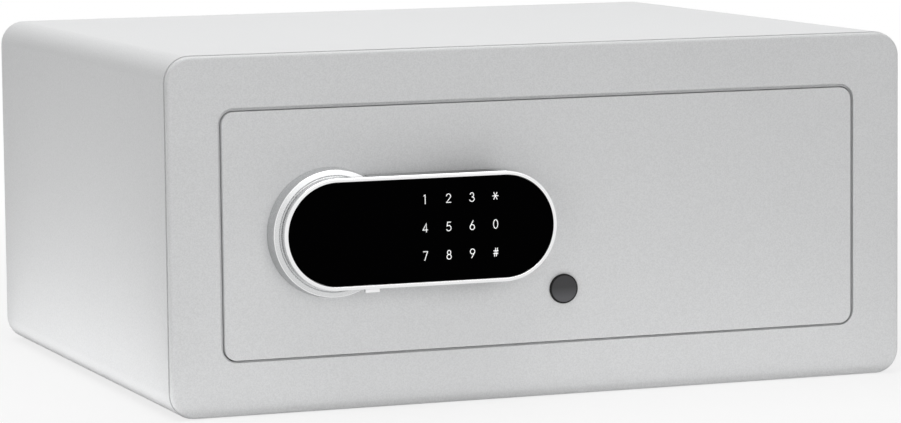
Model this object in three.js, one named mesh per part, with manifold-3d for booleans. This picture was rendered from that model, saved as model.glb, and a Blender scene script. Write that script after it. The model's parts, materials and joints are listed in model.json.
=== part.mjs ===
// A furniture safe with a lever that carries a keypad.
// Millimetres, +X to the right of someone facing the door, +Y into the safe, +Z up.
// The origin is the middle of the base. Inside the front group, y = 0 is the front face.
import * as THREE from 'three';
import { mergeVertices } from 'three/addons/utils/BufferGeometryUtils.js';
import Module from 'manifold-3d';

const wasm = await Module();
wasm.setup();

// Body
const width = 430;
const height = 194;
const depth = 350;
const cornerRadius = 14;
const wall = 2;
const frameThickness = 4;
const frameEdge = 3.2;
const seam = 0.8;
const baseFlange = 33;
const lipDepth = 9;
const lipThickness = 1.5;
const border = 28.5;
const openingRadius = 8.7;
const openingEdge = 0.6;
const fixingHoleRadius = 5;
const fixingSpacing = 260;
const baseHoleSetback = 215;
const matThickness = 2;
const matMargin = 3;
const matFront = 42;
const fixingSides = [-1, 1];

// Gaps between pieces
const clearance = 0.3;
const doorGap = 1.9;

// Door
const doorThickness = 4;
const doorEdge = 0.7;
const returnInset = 7;
const returnInsetHigh = 3;
const returnDepth = 26;
const returnWall = 1.2;
const returnFlange = 11;
const coverThickness = 1.2;
const coverMargin = 0.6;

// Hinge
const pivotInset = 24;
const hingePinRadius = 3;
const hingeBlockWidth = 16;
const hingeBlockDepth = 9;
const hingeBlockHeight = 12;
const hingeHoleWall = 0.4;

// Stops on the lock side
const stopWidth = 15;
const stopHeight = 11;
const stopThickness = 3;
const stopOverlap = 4;
const stopMargin = 7.5;

// Bolts and their carriage
const boltRadius = 10;
const boltLength = 43;
const boltInset = 25.6;
const boltThrow = 16;
const boltTipInset = 1.1;
const boltChamfer = 1.2;
const boltToPlate = 2;
const boltScrewRadius = 2.5;
const boltScrewHead = 5;
const boltScrewHeadHeight = 3;
const boltScrewLength = 11;
const carriageFlange = 3;
const carriageWeb = 2.5;
const carriageReach = 39;
const carriageMargin = 14;
const flangeSetback = 4;
const webInset = 1.5;
const lowerWebHeight = 26;
const upperWebHeight = 17.5;
const upperWebRise = 7.5;
const guideInset = 17.5;
const guidePlate = 2;
const guideFoot = 8;
const guideFootThickness = 1.5;
const guideMargin = 8;
const guideRim = 1;
const guidePinRadius = 2.4;
const guidePinSetback = 9;
const guidePinHead = 2;
const guidePinHeadHeight = 1.5;
const guideSlotMargin = 3.3;

// Lever and rose
const hubInset = 59.4;
const leverTurn = 35;
const leverRadius = 30.2;
const leverReach = 95.4;
const leverProud = 15.4;
const leverToDoor = 1.2;
const leverSkin = 2.2;
const leverRearWall = 2;
const leverFloor = 1.1;
const leverEdge = 0.8;
const bezelDepth = 1.9;
const bezelEdge = 0.8;
const glassThickness = 2;
const glassRecess = 0.4;
const glassEdge = 0.3;
const roseRadius = 35.2;
const roseHeight = 10.3;
const roseEdge = 1.3;
const roseStep = 0.35;
const roseGroove = 0.8;
const rosePlateau = 31.6;
const roseRecessRadius = 15.5;
const roseFloor = 4;
const roseToLever = 0.6;
const bossRadius = 13;
const bossEnd = 5;
const spindleRadius = 6;
const spindleEnd = 22;
const bushWall = 1.7;
const bushFlange = 3;
const bushFlangeThickness = 1.5;
const crankThickness = 4;
const crankSetback = 10;
const crankHubRadius = 10;
const crankPinRadius = 3;
const crankPinEnd = 1.5;
const crankSlotMargin = 7;
const crankArmWidth = 9;
const clipRadius = 9;
const clipThickness = 1.5;
const roseScrewCircle = 25;
const roseScrewRadius = 2;
const roseScrewHead = 4;
const roseScrewHeadHeight = 2.5;
const roseScrewLength = 9;
const keypadBoardReach = 15.9;
const keypadBoardHeight = 40;
const keypadBoardMargin = 3;
const boardThickness = 1.6;
const socketWidth = 8;
const socketDepth = 2.4;
const socketHeight = 4;
const socketProud = 2;
const socketOffset = 19.7;
const socketWall = 0.5;

// Blocking solenoid
const plungerRadius = 3;
const plungerThrow = 4;
const plungerCollar = 1.5;
const collarThickness = 1;
const springRise = 6.4;
const springTurns = 4;
const springWire = 0.7;
const solenoidWidth = 20;
const solenoidDepth = 10.4;
const solenoidHeadroom = 2.4;
const solenoidOffset = 15;
const bracketThickness = 1.6;
const bracketFoot = 7;
const bracketInset = 1;
const solenoidEnd = 2;

// Key lock and its cap
const keyOffset = 134.9;
const keyDrop = 37.8;
const capRadius = 8.2;
const capProud = 1.6;
const capEdge = 0.4;
const capStem = 2.4;
const keyHousingRadius = 7;
const keyHousingLength = 23;
const keyPlugRadius = 4.5;
const keySlotWidth = 1.4;
const keySlotHeight = 6.4;
const keySlotDepth = 12;
const keyNutRadius = 11;
const keyNutThickness = 4;
const camThickness = 2;
const camHubRadius = 8;
const camLength = 19;
const camWidth = 9;

// Electronics
const boardLength = 70;
const boardHeight = 60;
const boardOffset = 74.2;
const boardRise = 18;
const boardStandoff = 5;
const standoffRadius = 3;
const standoffInset = 4;
// Places and sizes of the large components as shares of the board, rises as shares of its thickness
const components = [
  { x: -0.2, z: -0.15, width: 0.2, height: 0.23, rise: 1.25 },
  { x: 0.16, z: -0.3, width: 0.29, height: 0.13, rise: 3.75 },
  { x: 0.26, z: -0.02, width: 0.14, height: 0.3, rise: 5.6 },
];
const cellRadius = 7.1;
const cellLength = 50;
const cellPitch = 15.2;
const cellCount = 4;
const terminalRadius = 2.7;
const terminalHeight = 1.2;
const caseInset = 106.6;
const caseWall = 1.6;
const caseStandoff = 7;
const windowMargin = 1.6;
const batteryCoverMargin = 3.4;
const batteryCoverThickness = 2;
const batteryCoverTravel = 58;
const railThickness = 1.4;
const railHeight = 2.5;
const railLip = 1.8;
const gripCount = 5;
const gripPitch = 4;
const gripWidth = 1.6;
const gripMargin = 5;
const gripHeight = 0.8;
const resetRadius = 4;
const resetStemRadius = 2.2;
const resetProud = 1.5;
const resetFlange = 2;
const resetFlangeThickness = 1;
const resetEdge = 0.5;
const resetTravel = 1.5;
const resetRise = 35;

// Screws of the mechanism cover
const coverScrewRadius = 1.5;
const coverScrewHead = 3.2;
const coverScrewHeadHeight = 1.8;
const coverScrewLength = 5;
const coverScrewInset = 5.5;

// Fineness of round shapes
const cornerSteps = 7;
const ovalSteps = 12;
const edgeSteps = 3;
const roundSteps = 48;
const boltSteps = 32;
const holeSteps = 24;
const smallSteps = 16;
const screwHoleSteps = 12;
const nutSides = 6;
const helixSteps = 8;
const wireSteps = 5;
const overshoot = 0.5;

// Worked out from the sizes above
const back = depth;
const front = -depth / 2;
const midZ = height / 2;
const openHalfWidth = width / 2 - border;
const openHalfHeight = height / 2 - border;
const doorHalfWidth = openHalfWidth - doorGap;
const doorHalfHeight = openHalfHeight - doorGap;
const doorRadius = openingRadius - doorGap;
const returnHalfWidth = doorHalfWidth - returnInset;
const returnHalfHeight = doorHalfHeight - returnInsetHigh;
const returnRadius = Math.max(doorRadius - returnInsetHigh, returnWall * 2);
const returnBack = doorThickness + returnDepth;
const coverFront = returnBack + clearance;
const coverBack = coverFront + coverThickness;
const wrapFront = frameThickness + seam;
const baseHalfWidth = width / 2 - cornerRadius - baseFlange;
const pivotX = doorHalfWidth - pivotInset;
const pivotY = doorThickness + hingePinRadius + clearance + hingeHoleWall;
const boltY = doorThickness + boltToPlate + boltRadius;
const boltTipX = -(doorHalfWidth - boltTipInset);
const boltRearX = boltTipX + boltLength;
const boltRise = returnHalfHeight - boltInset;
const boltHeights = { lower: midZ - boltRise, upper: midZ + boltRise };
const flangeX = boltRearX + clearance;
const webX = flangeX + carriageFlange;
const webBack = boltY + boltRadius - webInset;
const webFront = webBack - carriageWeb;
const hubX = -(doorHalfWidth - hubInset);
const crankFront = doorThickness + crankSetback;
const crankBack = crankFront + crankThickness;
const crankRadius = boltThrow / (2 * Math.sin(THREE.MathUtils.degToRad(leverTurn / 2)));
const crankAngle = THREE.MathUtils.degToRad(leverTurn / 2);
const crankPinX = hubX + crankRadius * Math.sin(crankAngle);
const crankPinZ = midZ - crankRadius * Math.cos(crankAngle);
const upperWebBottom = midZ + upperWebRise;
const upperWebTop = upperWebBottom + upperWebHeight;
const lowerWebTop = crankPinZ + crankPinRadius + clearance + crankSlotMargin;
const lowerWebBottom = lowerWebTop - lowerWebHeight;
const guidePinX = webX + guidePinSetback;
const guidePinHeights = {
  lower: lowerWebBottom + guideSlotMargin + guidePinRadius,
  upper: upperWebBottom + guideSlotMargin + guidePinRadius,
};
const plungerX = webX + solenoidOffset;
const plungerY = (webFront + webBack) / 2;
const plungerTip = upperWebTop + clearance;
const collarBottom = plungerTip + plungerThrow + clearance;
const collarTop = collarBottom + collarThickness;
const solenoidBottom = collarTop + springRise;
const solenoidTop = midZ + returnHalfHeight - returnWall - solenoidHeadroom;
const plungerTop = solenoidTop - solenoidEnd - clearance * 2;
const bezelFront = -leverProud;
const bezelBack = bezelFront + bezelDepth;
const leverFront = bezelBack + clearance;
const glassFront = bezelFront + glassRecess;
const glassBack = glassFront + glassThickness;
const leverRear = -leverToDoor;
const leverOverRose = -(roseHeight + roseToLever);
const roseRoomRadius = roseRadius + roseToLever;
const leverMidX = hubX + leverReach / 2;
const leverHalfWidth = leverReach / 2 + leverRadius;
const keyX = hubX + keyOffset;
const boardX = hubX + boardOffset;
const caseX = doorHalfWidth - caseInset;
const keyZ = midZ - keyDrop;
const keyHousingFront = capStem + clearance * 2;
const keyHousingBack = keyHousingFront + keyHousingLength;
const camFront = keyHousingBack + clearance;
const camBack = camFront + camThickness;
const keyPlugEnd = camBack + clearance;
const caseHalfWidth = (cellPitch * (cellCount - 1)) / 2 + cellRadius + clearance + caseWall;
const caseHalfHeight = cellLength / 2 + terminalHeight + clearance + caseWall;
const caseFloor = doorThickness + caseStandoff;
const caseBack = returnBack - returnWall - clearance;
const cellY = caseFloor + caseWall + clearance + cellRadius;
const batteryCoverFront = coverBack + clearance;
const batteryCoverBack = batteryCoverFront + batteryCoverThickness;
const resetX = boardX;
const resetZ = midZ + resetRise;

// Outward triangles of a closed geometry, with only positions left
function closed(geometry) {
  const bare = geometry.index ? geometry.toNonIndexed() : geometry.clone();
  bare.deleteAttribute('normal');
  bare.deleteAttribute('uv');
  const merged = mergeVertices(bare, 1e-4);
  const position = merged.getAttribute('position');
  const corners = [];
  for (let i = 0; i < merged.index.count; i += 3) {
    const triangle = [0, 1, 2].map((k) => merged.index.getX(i + k));
    if (new Set(triangle).size === 3) corners.push(...triangle);
  }
  const [a, b, c] = [new THREE.Vector3(), new THREE.Vector3(), new THREE.Vector3()];
  let volume = 0;
  for (let i = 0; i < corners.length; i += 3) {
    a.fromBufferAttribute(position, corners[i]);
    b.fromBufferAttribute(position, corners[i + 1]);
    c.fromBufferAttribute(position, corners[i + 2]);
    volume += a.dot(b.cross(c));
  }
  if (volume < 0) corners.reverse();
  merged.setIndex(corners);
  return merged;
}

function solid(geometry) {
  const shape = closed(geometry);
  return new wasm.Manifold(
    new wasm.Mesh({
      numProp: 3,
      vertProperties: new Float32Array(shape.getAttribute('position').array),
      triVerts: new Uint32Array(shape.index.array),
    }),
  );
}

function geometryOf(manifold) {
  const mesh = manifold.getMesh();
  const geometry = new THREE.BufferGeometry();
  geometry.setAttribute('position', new THREE.BufferAttribute(new Float32Array(mesh.vertProperties), 3));
  geometry.setIndex(new THREE.BufferAttribute(new Uint32Array(mesh.triVerts), 1));
  return geometry;
}

function cut(base, ...tools) {
  return geometryOf(tools.reduce((left, tool) => left.subtract(solid(tool)), solid(base)));
}

function join(base, ...others) {
  return geometryOf(others.reduce((all, other) => all.add(solid(other)), solid(base)));
}

// A box between two corners
function block(x0, x1, y0, y1, z0, z1) {
  const box = new THREE.BoxGeometry(x1 - x0, y1 - y0, z1 - z0);
  return box.translate((x0 + x1) / 2, (y0 + y1) / 2, (z0 + z1) / 2);
}

// A rod along Y at (x, z)
function rodY(radius, x, z, y0, y1, steps = smallSteps) {
  return new THREE.CylinderGeometry(radius, radius, y1 - y0, steps).translate(x, (y0 + y1) / 2, z);
}

// A rod along X at (y, z)
function rodX(radius, y, z, x0, x1, steps = smallSteps) {
  const rod = new THREE.CylinderGeometry(radius, radius, x1 - x0, steps).rotateZ(Math.PI / 2);
  return rod.translate((x0 + x1) / 2, y, z);
}

// A rod along Z at (x, y)
function rodZ(radius, x, y, z0, z1, steps = smallSteps) {
  const rod = new THREE.CylinderGeometry(radius, radius, z1 - z0, steps).rotateX(Math.PI / 2);
  return rod.translate(x, y, (z0 + z1) / 2);
}

// A turned piece about the line along Y through (x, z); the profile is a list of [radius, y]
function turned(profile, x, z, steps = roundSteps) {
  const points = profile.map(([radius, y]) => new THREE.Vector2(radius, y));
  return new THREE.LatheGeometry(points, steps).translate(x, 0, z);
}

// One rounded rectangle at a given y, as points in order round it
function rounded(halfWidth, halfHeight, radius, y, x = 0, z = midZ, steps = cornerSteps) {
  const r = Math.min(radius, halfWidth, halfHeight);
  const points = [];
  for (const [side, rise, start] of [[1, 1, 0], [-1, 1, 90], [-1, -1, 180], [1, -1, 270]]) {
    for (let i = 0; i <= steps; i++) {
      const angle = THREE.MathUtils.degToRad(start + (90 * i) / steps);
      const px = x + side * (halfWidth - r) + r * Math.cos(angle);
      const pz = z + rise * (halfHeight - r) + r * Math.sin(angle);
      points.push([px, y, pz]);
    }
  }
  return points;
}

// The rounding of a front edge: rings that step in as they come forward to y
function roundedEdge(halfWidth, halfHeight, radius, y, edge, x = 0, z = midZ, steps = cornerSteps) {
  const rings = [];
  for (let i = 0; i <= edgeSteps; i++) {
    const angle = (Math.PI / 2) * (i / edgeSteps);
    const inset = edge * (1 - Math.cos(angle));
    const setback = edge * (1 - Math.sin(angle));
    const size = [halfWidth - inset, halfHeight - inset, radius - inset];
    rings.push(rounded(...size, y + setback, x, z, steps));
  }
  return rings;
}

// Skins the rings in order, and either joins the last to the first or caps both ends
function loft(rings, hollow = false) {
  const count = rings[0].length;
  const corners = [];
  const pairs = hollow ? rings.length : rings.length - 1;
  for (let i = 0; i < pairs; i++) {
    const [from, to] = [rings[i], rings[(i + 1) % rings.length]];
    for (let k = 0; k < count; k++) {
      const next = (k + 1) % count;
      corners.push(from[k], from[next], to[next], from[k], to[next], to[k]);
    }
  }
  if (!hollow) {
    for (const [ring, turn] of [[rings[0], 1], [rings[rings.length - 1], -1]]) {
      const centre = [0, 1, 2].map((axis) => ring.reduce((sum, p) => sum + p[axis], 0) / count);
      for (let k = 0; k < count; k++) {
        const pair = [ring[(k + 1) % count], ring[k]];
        if (turn < 0) pair.reverse();
        corners.push(centre, ...pair);
      }
    }
  }
  const geometry = new THREE.BufferGeometry();
  geometry.setAttribute('position', new THREE.Float32BufferAttribute(corners.flat(), 3));
  return geometry;
}

// Finishes
const finishes = {
  paint: { color: 0xd3d4d5, roughness: 0.55, metalness: 0 },
  steel: { color: 0xa9abad, roughness: 0.4, metalness: 1 },
  zinc: { color: 0xb9bcc0, roughness: 0.35, metalness: 1 },
  silver: { color: 0xdedfe0, roughness: 0.22, metalness: 1 },
  glass: { color: 0x020202, roughness: 0.05, metalness: 0 },
  dark: { color: 0x3a3b3d, roughness: 0.5, metalness: 0 },
  capGrey: { color: 0x56585a, roughness: 0.5, metalness: 0 },
  felt: { color: 0x26272a, roughness: 1, metalness: 0 },
  brass: { color: 0xb8964f, roughness: 0.35, metalness: 1 },
  board: { color: 0x1f5a38, roughness: 0.45, metalness: 0 },
  cell: { color: 0x8e9094, roughness: 0.35, metalness: 0.4 },
  red: { color: 0xa51d1d, roughness: 0.4, metalness: 0 },
};

function piece(group, name, finish, geometry) {
  const mesh = new THREE.Mesh(closed(geometry), new THREE.MeshStandardMaterial(finishes[finish]));
  mesh.geometry.computeVertexNormals();
  mesh.name = name;
  group.add(mesh);
  return mesh;
}

const safe = new THREE.Group();
const body = new THREE.Group();
const door = new THREE.Group();
const lever = new THREE.Group();
const bolts = new THREE.Group();
for (const group of [body, door, lever, bolts]) {
  group.position.set(0, front, 0);
  safe.add(group);
}

// Body wrap: sheet steel bent to a rounded tube, open at the front, the back and between its base flanges
function bodyWrap() {
  const rings = [
    rounded(width / 2, height / 2, cornerRadius, wrapFront),
    rounded(width / 2, height / 2, cornerRadius, back),
    rounded(width / 2 - wall, height / 2 - wall, cornerRadius - wall, back),
    rounded(width / 2 - wall, height / 2 - wall, cornerRadius - wall, wrapFront),
  ];
  const ends = [wrapFront - overshoot, back + overshoot];
  const between = block(-baseHalfWidth, baseHalfWidth, ...ends, -overshoot, wall + overshoot);
  piece(body, 'body_wrap', 'paint', cut(loft(rings, true), between));
}

// Base plate: welded edge to edge between the wrap's flanges, with two holes for fixing to a shelf
function basePlate() {
  const plate = block(-baseHalfWidth, baseHalfWidth, wrapFront, back, 0, wall);
  const holes = fixingSides.map((side) =>
    rodZ(fixingHoleRadius, (side * fixingSpacing) / 2, baseHoleSetback, -overshoot, wall + overshoot),
  );
  piece(body, 'base_plate', 'paint', cut(plate, ...holes));
}

// Front frame: the plate round the door
function frontFrame() {
  const rings = [
    rounded(width / 2, height / 2, cornerRadius, frameThickness),
    ...roundedEdge(width / 2, height / 2, cornerRadius, 0, frameEdge),
    rounded(openHalfWidth + openingEdge, openHalfHeight + openingEdge, openingRadius + openingEdge, 0),
    rounded(openHalfWidth, openHalfHeight, openingRadius, openingEdge),
    rounded(openHalfWidth, openHalfHeight, openingRadius, frameThickness),
  ];
  piece(body, 'front_frame', 'paint', loft(rings, true));
}

// Frame lip: a ring of strip steel behind the front frame that reaches into the wrap
function frameLip() {
  const outside = wall + clearance;
  const inside = outside + lipThickness;
  const lipBack = wrapFront + lipDepth;
  const halves = (inset, y) =>
    rounded(width / 2 - inset, height / 2 - inset, cornerRadius - inset, y);
  const rings = [
    halves(outside, frameThickness),
    halves(outside, lipBack),
    halves(inside, lipBack),
    halves(inside, frameThickness),
  ];
  piece(body, 'frame_lip', 'paint', loft(rings, true));
}

// Back panel: set in the wrap's end, with two holes for fixing to a wall
function backPanel() {
  const inset = wall + clearance;
  const outline = (y) => rounded(width / 2 - inset, height / 2 - inset, cornerRadius - inset, y);
  const panel = loft([outline(back - wall), outline(back)]);
  const holes = fixingSides.map((side) =>
    rodY(fixingHoleRadius, (side * fixingSpacing) / 2, midZ, back - wall - overshoot, back + overshoot),
  );
  piece(body, 'back_panel', 'paint', cut(panel, ...holes));
}

// Floor mat: a felt sheet on the flat of the floor
function floorMat() {
  const half = width / 2 - cornerRadius - matMargin;
  const rise = [wall, wall + matThickness];
  const sheet = block(-half, half, matFront, back - wall - matMargin, ...rise);
  const holes = fixingSides.map((side) =>
    rodZ(fixingHoleRadius + matMargin, (side * fixingSpacing) / 2, baseHoleSetback, 0, rise[1] + overshoot),
  );
  piece(body, 'floor_mat', 'felt', cut(sheet, ...holes));
}

// Hinge brackets behind the frame, above and below the door, each with the hole of a pin
function hingeBrackets() {
  for (const [name, sign] of [['top', 1], ['bottom', -1]]) {
    const edge = midZ + sign * (openHalfHeight + clearance * 2);
    const far = edge + sign * hingeBlockHeight;
    const [z0, z1] = [Math.min(edge, far), Math.max(edge, far)];
    const shape = block(
      pivotX - hingeBlockWidth / 2,
      pivotX + hingeBlockWidth / 2,
      frameThickness,
      frameThickness + hingeBlockDepth,
      z0,
      z1,
    );
    const hole = rodZ(hingePinRadius + clearance, pivotX, pivotY, z0 - overshoot, z1 + overshoot);
    piece(body, `hinge_bracket_${name}`, 'steel', cut(shape, hole));
  }
}

// Door stops: two strips behind the lock side of the frame that the door plate rests on
function doorStops() {
  const x1 = -(doorHalfWidth - stopOverlap);
  const y0 = frameThickness + clearance;
  for (const [name, sign] of [['upper', 1], ['lower', -1]]) {
    const far = midZ + sign * (openHalfHeight - stopMargin);
    const near = far - sign * stopHeight;
    const [z0, z1] = [Math.min(near, far), Math.max(near, far)];
    piece(
      body,
      `door_stop_${name}`,
      'steel',
      block(x1 - stopWidth, x1, y0, y0 + stopThickness, z0, z1),
    );
  }
}

// Door plate with its holes for the spindle, the rose screws and the key lock
function doorPlate() {
  const rings = [
    rounded(doorHalfWidth, doorHalfHeight, doorRadius, doorThickness),
    ...roundedEdge(doorHalfWidth, doorHalfHeight, doorRadius, 0, doorEdge),
  ];
  const through = [-overshoot, doorThickness + overshoot];
  const holes = [
    rodY(spindleRadius + bushWall + clearance * 2, hubX, midZ, ...through),
    rodY(keyHousingRadius + clearance, keyX, keyZ, ...through),
    ...roseScrewPlaces().map(([x, z]) => rodY(roseScrewRadius + clearance, x, z, ...through)),
  ];
  piece(door, 'door_plate', 'paint', cut(loft(rings), ...holes));
}

// Door return: the folded ring welded behind the door plate, with an inward flange
function doorReturn() {
  const outline = (inset, y) =>
    rounded(returnHalfWidth - inset, returnHalfHeight - inset, returnRadius - inset, y);
  const flangeEdge = (y) =>
    rounded(returnHalfWidth - returnFlange, returnHalfHeight - returnFlange, returnWall, y);
  const rings = [
    outline(0, doorThickness),
    outline(0, returnBack),
    flangeEdge(returnBack),
    flangeEdge(returnBack - returnWall),
    outline(returnWall, returnBack - returnWall),
    outline(returnWall, doorThickness),
  ];
  const leftWall = [-returnHalfWidth - overshoot, -returnHalfWidth + returnWall + overshoot];
  const boltHoles = Object.values(boltHeights).map((z) =>
    rodX(boltRadius + clearance, boltY, z, ...leftWall, holeSteps),
  );
  const pinHoles = [-1, 1].map((sign) => {
    const z = midZ + sign * returnHalfHeight;
    return rodZ(hingePinRadius + clearance, pivotX, pivotY, z - returnWall * 2, z + returnWall * 2);
  });
  const throughFlange = [returnBack - returnWall - overshoot, returnBack + overshoot];
  const screwHoles = coverScrewPlaces().map(([x, z]) =>
    rodY(coverScrewRadius + clearance, x, z, ...throughFlange, screwHoleSteps),
  );
  piece(door, 'door_return', 'paint', cut(loft(rings, true), ...boltHoles, ...pinHoles, ...screwHoles));
}

// Hinge blocks inside the return, and the pins that stand out of them into the brackets
function hingeBlocksAndPins() {
  for (const [name, sign] of [['top', 1], ['bottom', -1]]) {
    const near = midZ + sign * (returnHalfHeight - returnWall);
    const far = near - sign * hingeBlockHeight;
    const [z0, z1] = [Math.min(near, far), Math.max(near, far)];
    const shape = block(
      pivotX - hingeBlockWidth / 2,
      pivotX + hingeBlockWidth / 2,
      doorThickness,
      doorThickness + hingeBlockDepth,
      z0,
      z1,
    );
    const hole = rodZ(hingePinRadius + clearance, pivotX, pivotY, z0 - overshoot, z1 + overshoot);
    piece(door, `hinge_block_${name}`, 'steel', cut(shape, hole));
    const tip = midZ + sign * (openHalfHeight + hingeBlockHeight - clearance);
    const pin = rodZ(hingePinRadius, pivotX, pivotY, Math.min(far, tip), Math.max(far, tip));
    piece(door, `hinge_pin_${name}`, 'zinc', pin);
  }
}

function coverScrewPlaces() {
  const x = returnHalfWidth - coverScrewInset;
  const z = returnHalfHeight - coverScrewInset;
  return [-1, 0, 1].flatMap((side) => [-1, 1].map((rise) => [side * x, midZ + rise * z]));
}

// Mechanism cover: closes the return from behind, with the battery window and its two rails
function mechanismCover() {
  const outline = (y) =>
    rounded(returnHalfWidth - coverMargin, returnHalfHeight - coverMargin, returnRadius, y);
  const plate = loft([outline(coverFront), outline(coverBack)]);
  const through = [coverFront - overshoot, coverBack + overshoot];
  const [windowX, windowZ] = [caseHalfWidth - windowMargin, caseHalfHeight - windowMargin];
  const window = block(caseX - windowX, caseX + windowX, ...through, midZ - windowZ, midZ + windowZ);
  const holes = coverScrewPlaces().map(([x, z]) =>
    rodY(coverScrewRadius + clearance, x, z, ...through, screwHoleSteps),
  );
  const button = rodY(resetRadius + clearance, resetX, resetZ, ...through);
  const railBack = batteryCoverBack + clearance + railThickness;
  const rails = [-1, 1].map((sign) => {
    const edge = midZ + sign * (caseHalfHeight + batteryCoverMargin + clearance);
    const far = edge + sign * railHeight;
    const lip = edge - sign * railLip;
    const x0 = caseX - caseHalfWidth;
    const x1 = caseX + caseHalfWidth + batteryCoverMargin + batteryCoverTravel;
    return join(
      block(x0, x1, coverBack - coverThickness / 2, railBack, Math.min(edge, far), Math.max(edge, far)),
      block(x0, x1, railBack - railThickness, railBack, Math.min(lip, far), Math.max(lip, far)),
    );
  });
  piece(door, 'mechanism_cover', 'paint', join(cut(plate, window, button, ...holes), ...rails));
}

function coverScrews() {
  coverScrewPlaces().forEach(([x, z], index) => {
    const head = coverBack + coverScrewHeadHeight;
    const screw = turned(
      [
        [0, coverBack - coverScrewLength],
        [coverScrewRadius, coverBack - coverScrewLength],
        [coverScrewRadius, coverBack],
        [coverScrewHead, coverBack],
        [coverScrewHead, head - coverScrewHeadHeight / 3],
        [coverScrewHead * 0.7, head],
        [0, head],
      ],
      x,
      z,
      smallSteps,
    );
    piece(door, `cover_screw_${index + 1}`, 'zinc', screw);
  });
}

// Bolt guide: a bent plate that holds the bolts inside the door
function boltGuide() {
  const x1 = -returnHalfWidth + guideInset + guidePlate;
  const x0 = x1 - guidePlate;
  const half = boltRise + boltRadius + guideMargin;
  const plate = join(
    block(x0, x1, doorThickness, boltY + boltRadius + guideRim, midZ - half, midZ + half),
    block(x0, x1 + guideFoot, doorThickness, doorThickness + guideFootThickness, midZ - half, midZ + half),
  );
  const holes = Object.values(boltHeights).map((z) =>
    rodX(boltRadius + clearance, boltY, z, x0 - overshoot, x1 + overshoot, holeSteps),
  );
  piece(door, 'bolt_guide', 'steel', cut(plate, ...holes));
}

// Rose: the round base that the lever turns on, hollow in the middle
function rose() {
  const plateau = -roseHeight;
  const step = plateau + roseStep;
  const bore = spindleRadius + bushWall + clearance;
  const profile = [
    [bore, 0],
    [roseRadius, 0],
    [roseRadius, step + roseEdge],
    [roseRadius - roseEdge * 0.3, step + roseEdge * 0.3],
    [roseRadius - roseEdge, step],
    [rosePlateau + roseGroove, step],
    [rosePlateau + roseGroove / 2, step + roseGroove],
    [rosePlateau, plateau],
    [roseRecessRadius, plateau],
    [roseRecessRadius, -roseFloor],
    [bore, -roseFloor],
    [bore, 0],
  ];
  const screwHoles = roseScrewPlaces().map(([x, z]) =>
    rodY(roseScrewRadius + clearance, x, z, doorThickness - roseScrewLength - clearance, overshoot),
  );
  piece(door, 'lever_rose', 'silver', cut(turned(profile, hubX, midZ), ...screwHoles));
}

function roseScrewPlaces() {
  return [-1, 1].map((sign) => [hubX, midZ + sign * roseScrewCircle]);
}

function roseScrews() {
  roseScrewPlaces().forEach(([x, z], index) => {
    const screw = turned(
      [
        [0, doorThickness - roseScrewLength],
        [roseScrewRadius, doorThickness - roseScrewLength],
        [roseScrewRadius, doorThickness],
        [roseScrewHead, doorThickness],
        [roseScrewHead, doorThickness + roseScrewHeadHeight],
        [0, doorThickness + roseScrewHeadHeight],
      ],
      x,
      z,
      smallSteps,
    );
    piece(door, `rose_screw_${index + 1}`, 'zinc', screw);
  });
}

// Spindle bush: lines the hole through the rose and the door plate
function spindleBush() {
  const inside = spindleRadius + clearance;
  const outside = spindleRadius + bushWall;
  const flangeFront = doorThickness + clearance;
  const profile = [
    [inside, -roseFloor],
    [outside, -roseFloor],
    [outside, flangeFront],
    [outside + bushFlange, flangeFront],
    [outside + bushFlange, flangeFront + bushFlangeThickness],
    [inside, flangeFront + bushFlangeThickness],
    [inside, -roseFloor],
  ];
  piece(door, 'spindle_bush', 'brass', turned(profile, hubX, midZ, holeSteps));
}

// Guide pins that the carriage slides on
function guidePins() {
  for (const [name, z] of Object.entries(guidePinHeights)) {
    const headFront = webBack + clearance;
    const headBack = headFront + guidePinHeadHeight;
    const pin = rodY(guidePinRadius, guidePinX, z, doorThickness, headFront + guidePinHeadHeight / 2);
    const head = rodY(guidePinRadius + guidePinHead, guidePinX, z, headFront, headBack);
    piece(door, `guide_pin_${name}`, 'zinc', join(pin, head));
  }
}

// Bolt carriage: an upright flange behind the bolts with two webs that reach to the right
function boltCarriage() {
  const reach = webX + carriageReach;
  const flange = block(
    flangeX,
    webX,
    doorThickness + flangeSetback,
    webBack,
    boltHeights.lower - carriageMargin,
    boltHeights.upper + carriageMargin,
  );
  const lower = block(flangeX, reach, webFront, webBack, lowerWebBottom, lowerWebTop);
  const upper = block(flangeX, reach, webFront, webBack, upperWebBottom, upperWebTop);
  const through = [webFront - overshoot, webBack + overshoot];
  const running = clearance + crankPinRadius;
  const rise = crankRadius * (1 - Math.cos(crankAngle));
  const crankSlot = block(
    crankPinX - running,
    crankPinX + running,
    ...through,
    crankPinZ - rise - running,
    crankPinZ + running,
  );
  const pinRoom = guidePinRadius + clearance;
  const guideSlots = Object.values(guidePinHeights).map((z) =>
    block(guidePinX - pinRoom, guidePinX + boltThrow + pinRoom, ...through, z - pinRoom, z + pinRoom),
  );
  const notchRoom = plungerRadius + clearance * 2;
  const notches = [0, boltThrow].map((shift) =>
    block(
      plungerX + shift - notchRoom,
      plungerX + shift + notchRoom,
      ...through,
      upperWebTop - plungerThrow - clearance,
      upperWebTop + overshoot,
    ),
  );
  const screwHoles = Object.values(boltHeights).map((z) =>
    rodX(boltScrewRadius + clearance, boltY, z, flangeX - overshoot, webX + overshoot),
  );
  const carriage = cut(join(flange, lower, upper), crankSlot, ...guideSlots, ...notches, ...screwHoles);
  piece(bolts, 'bolt_carriage', 'steel', carriage);
}

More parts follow.
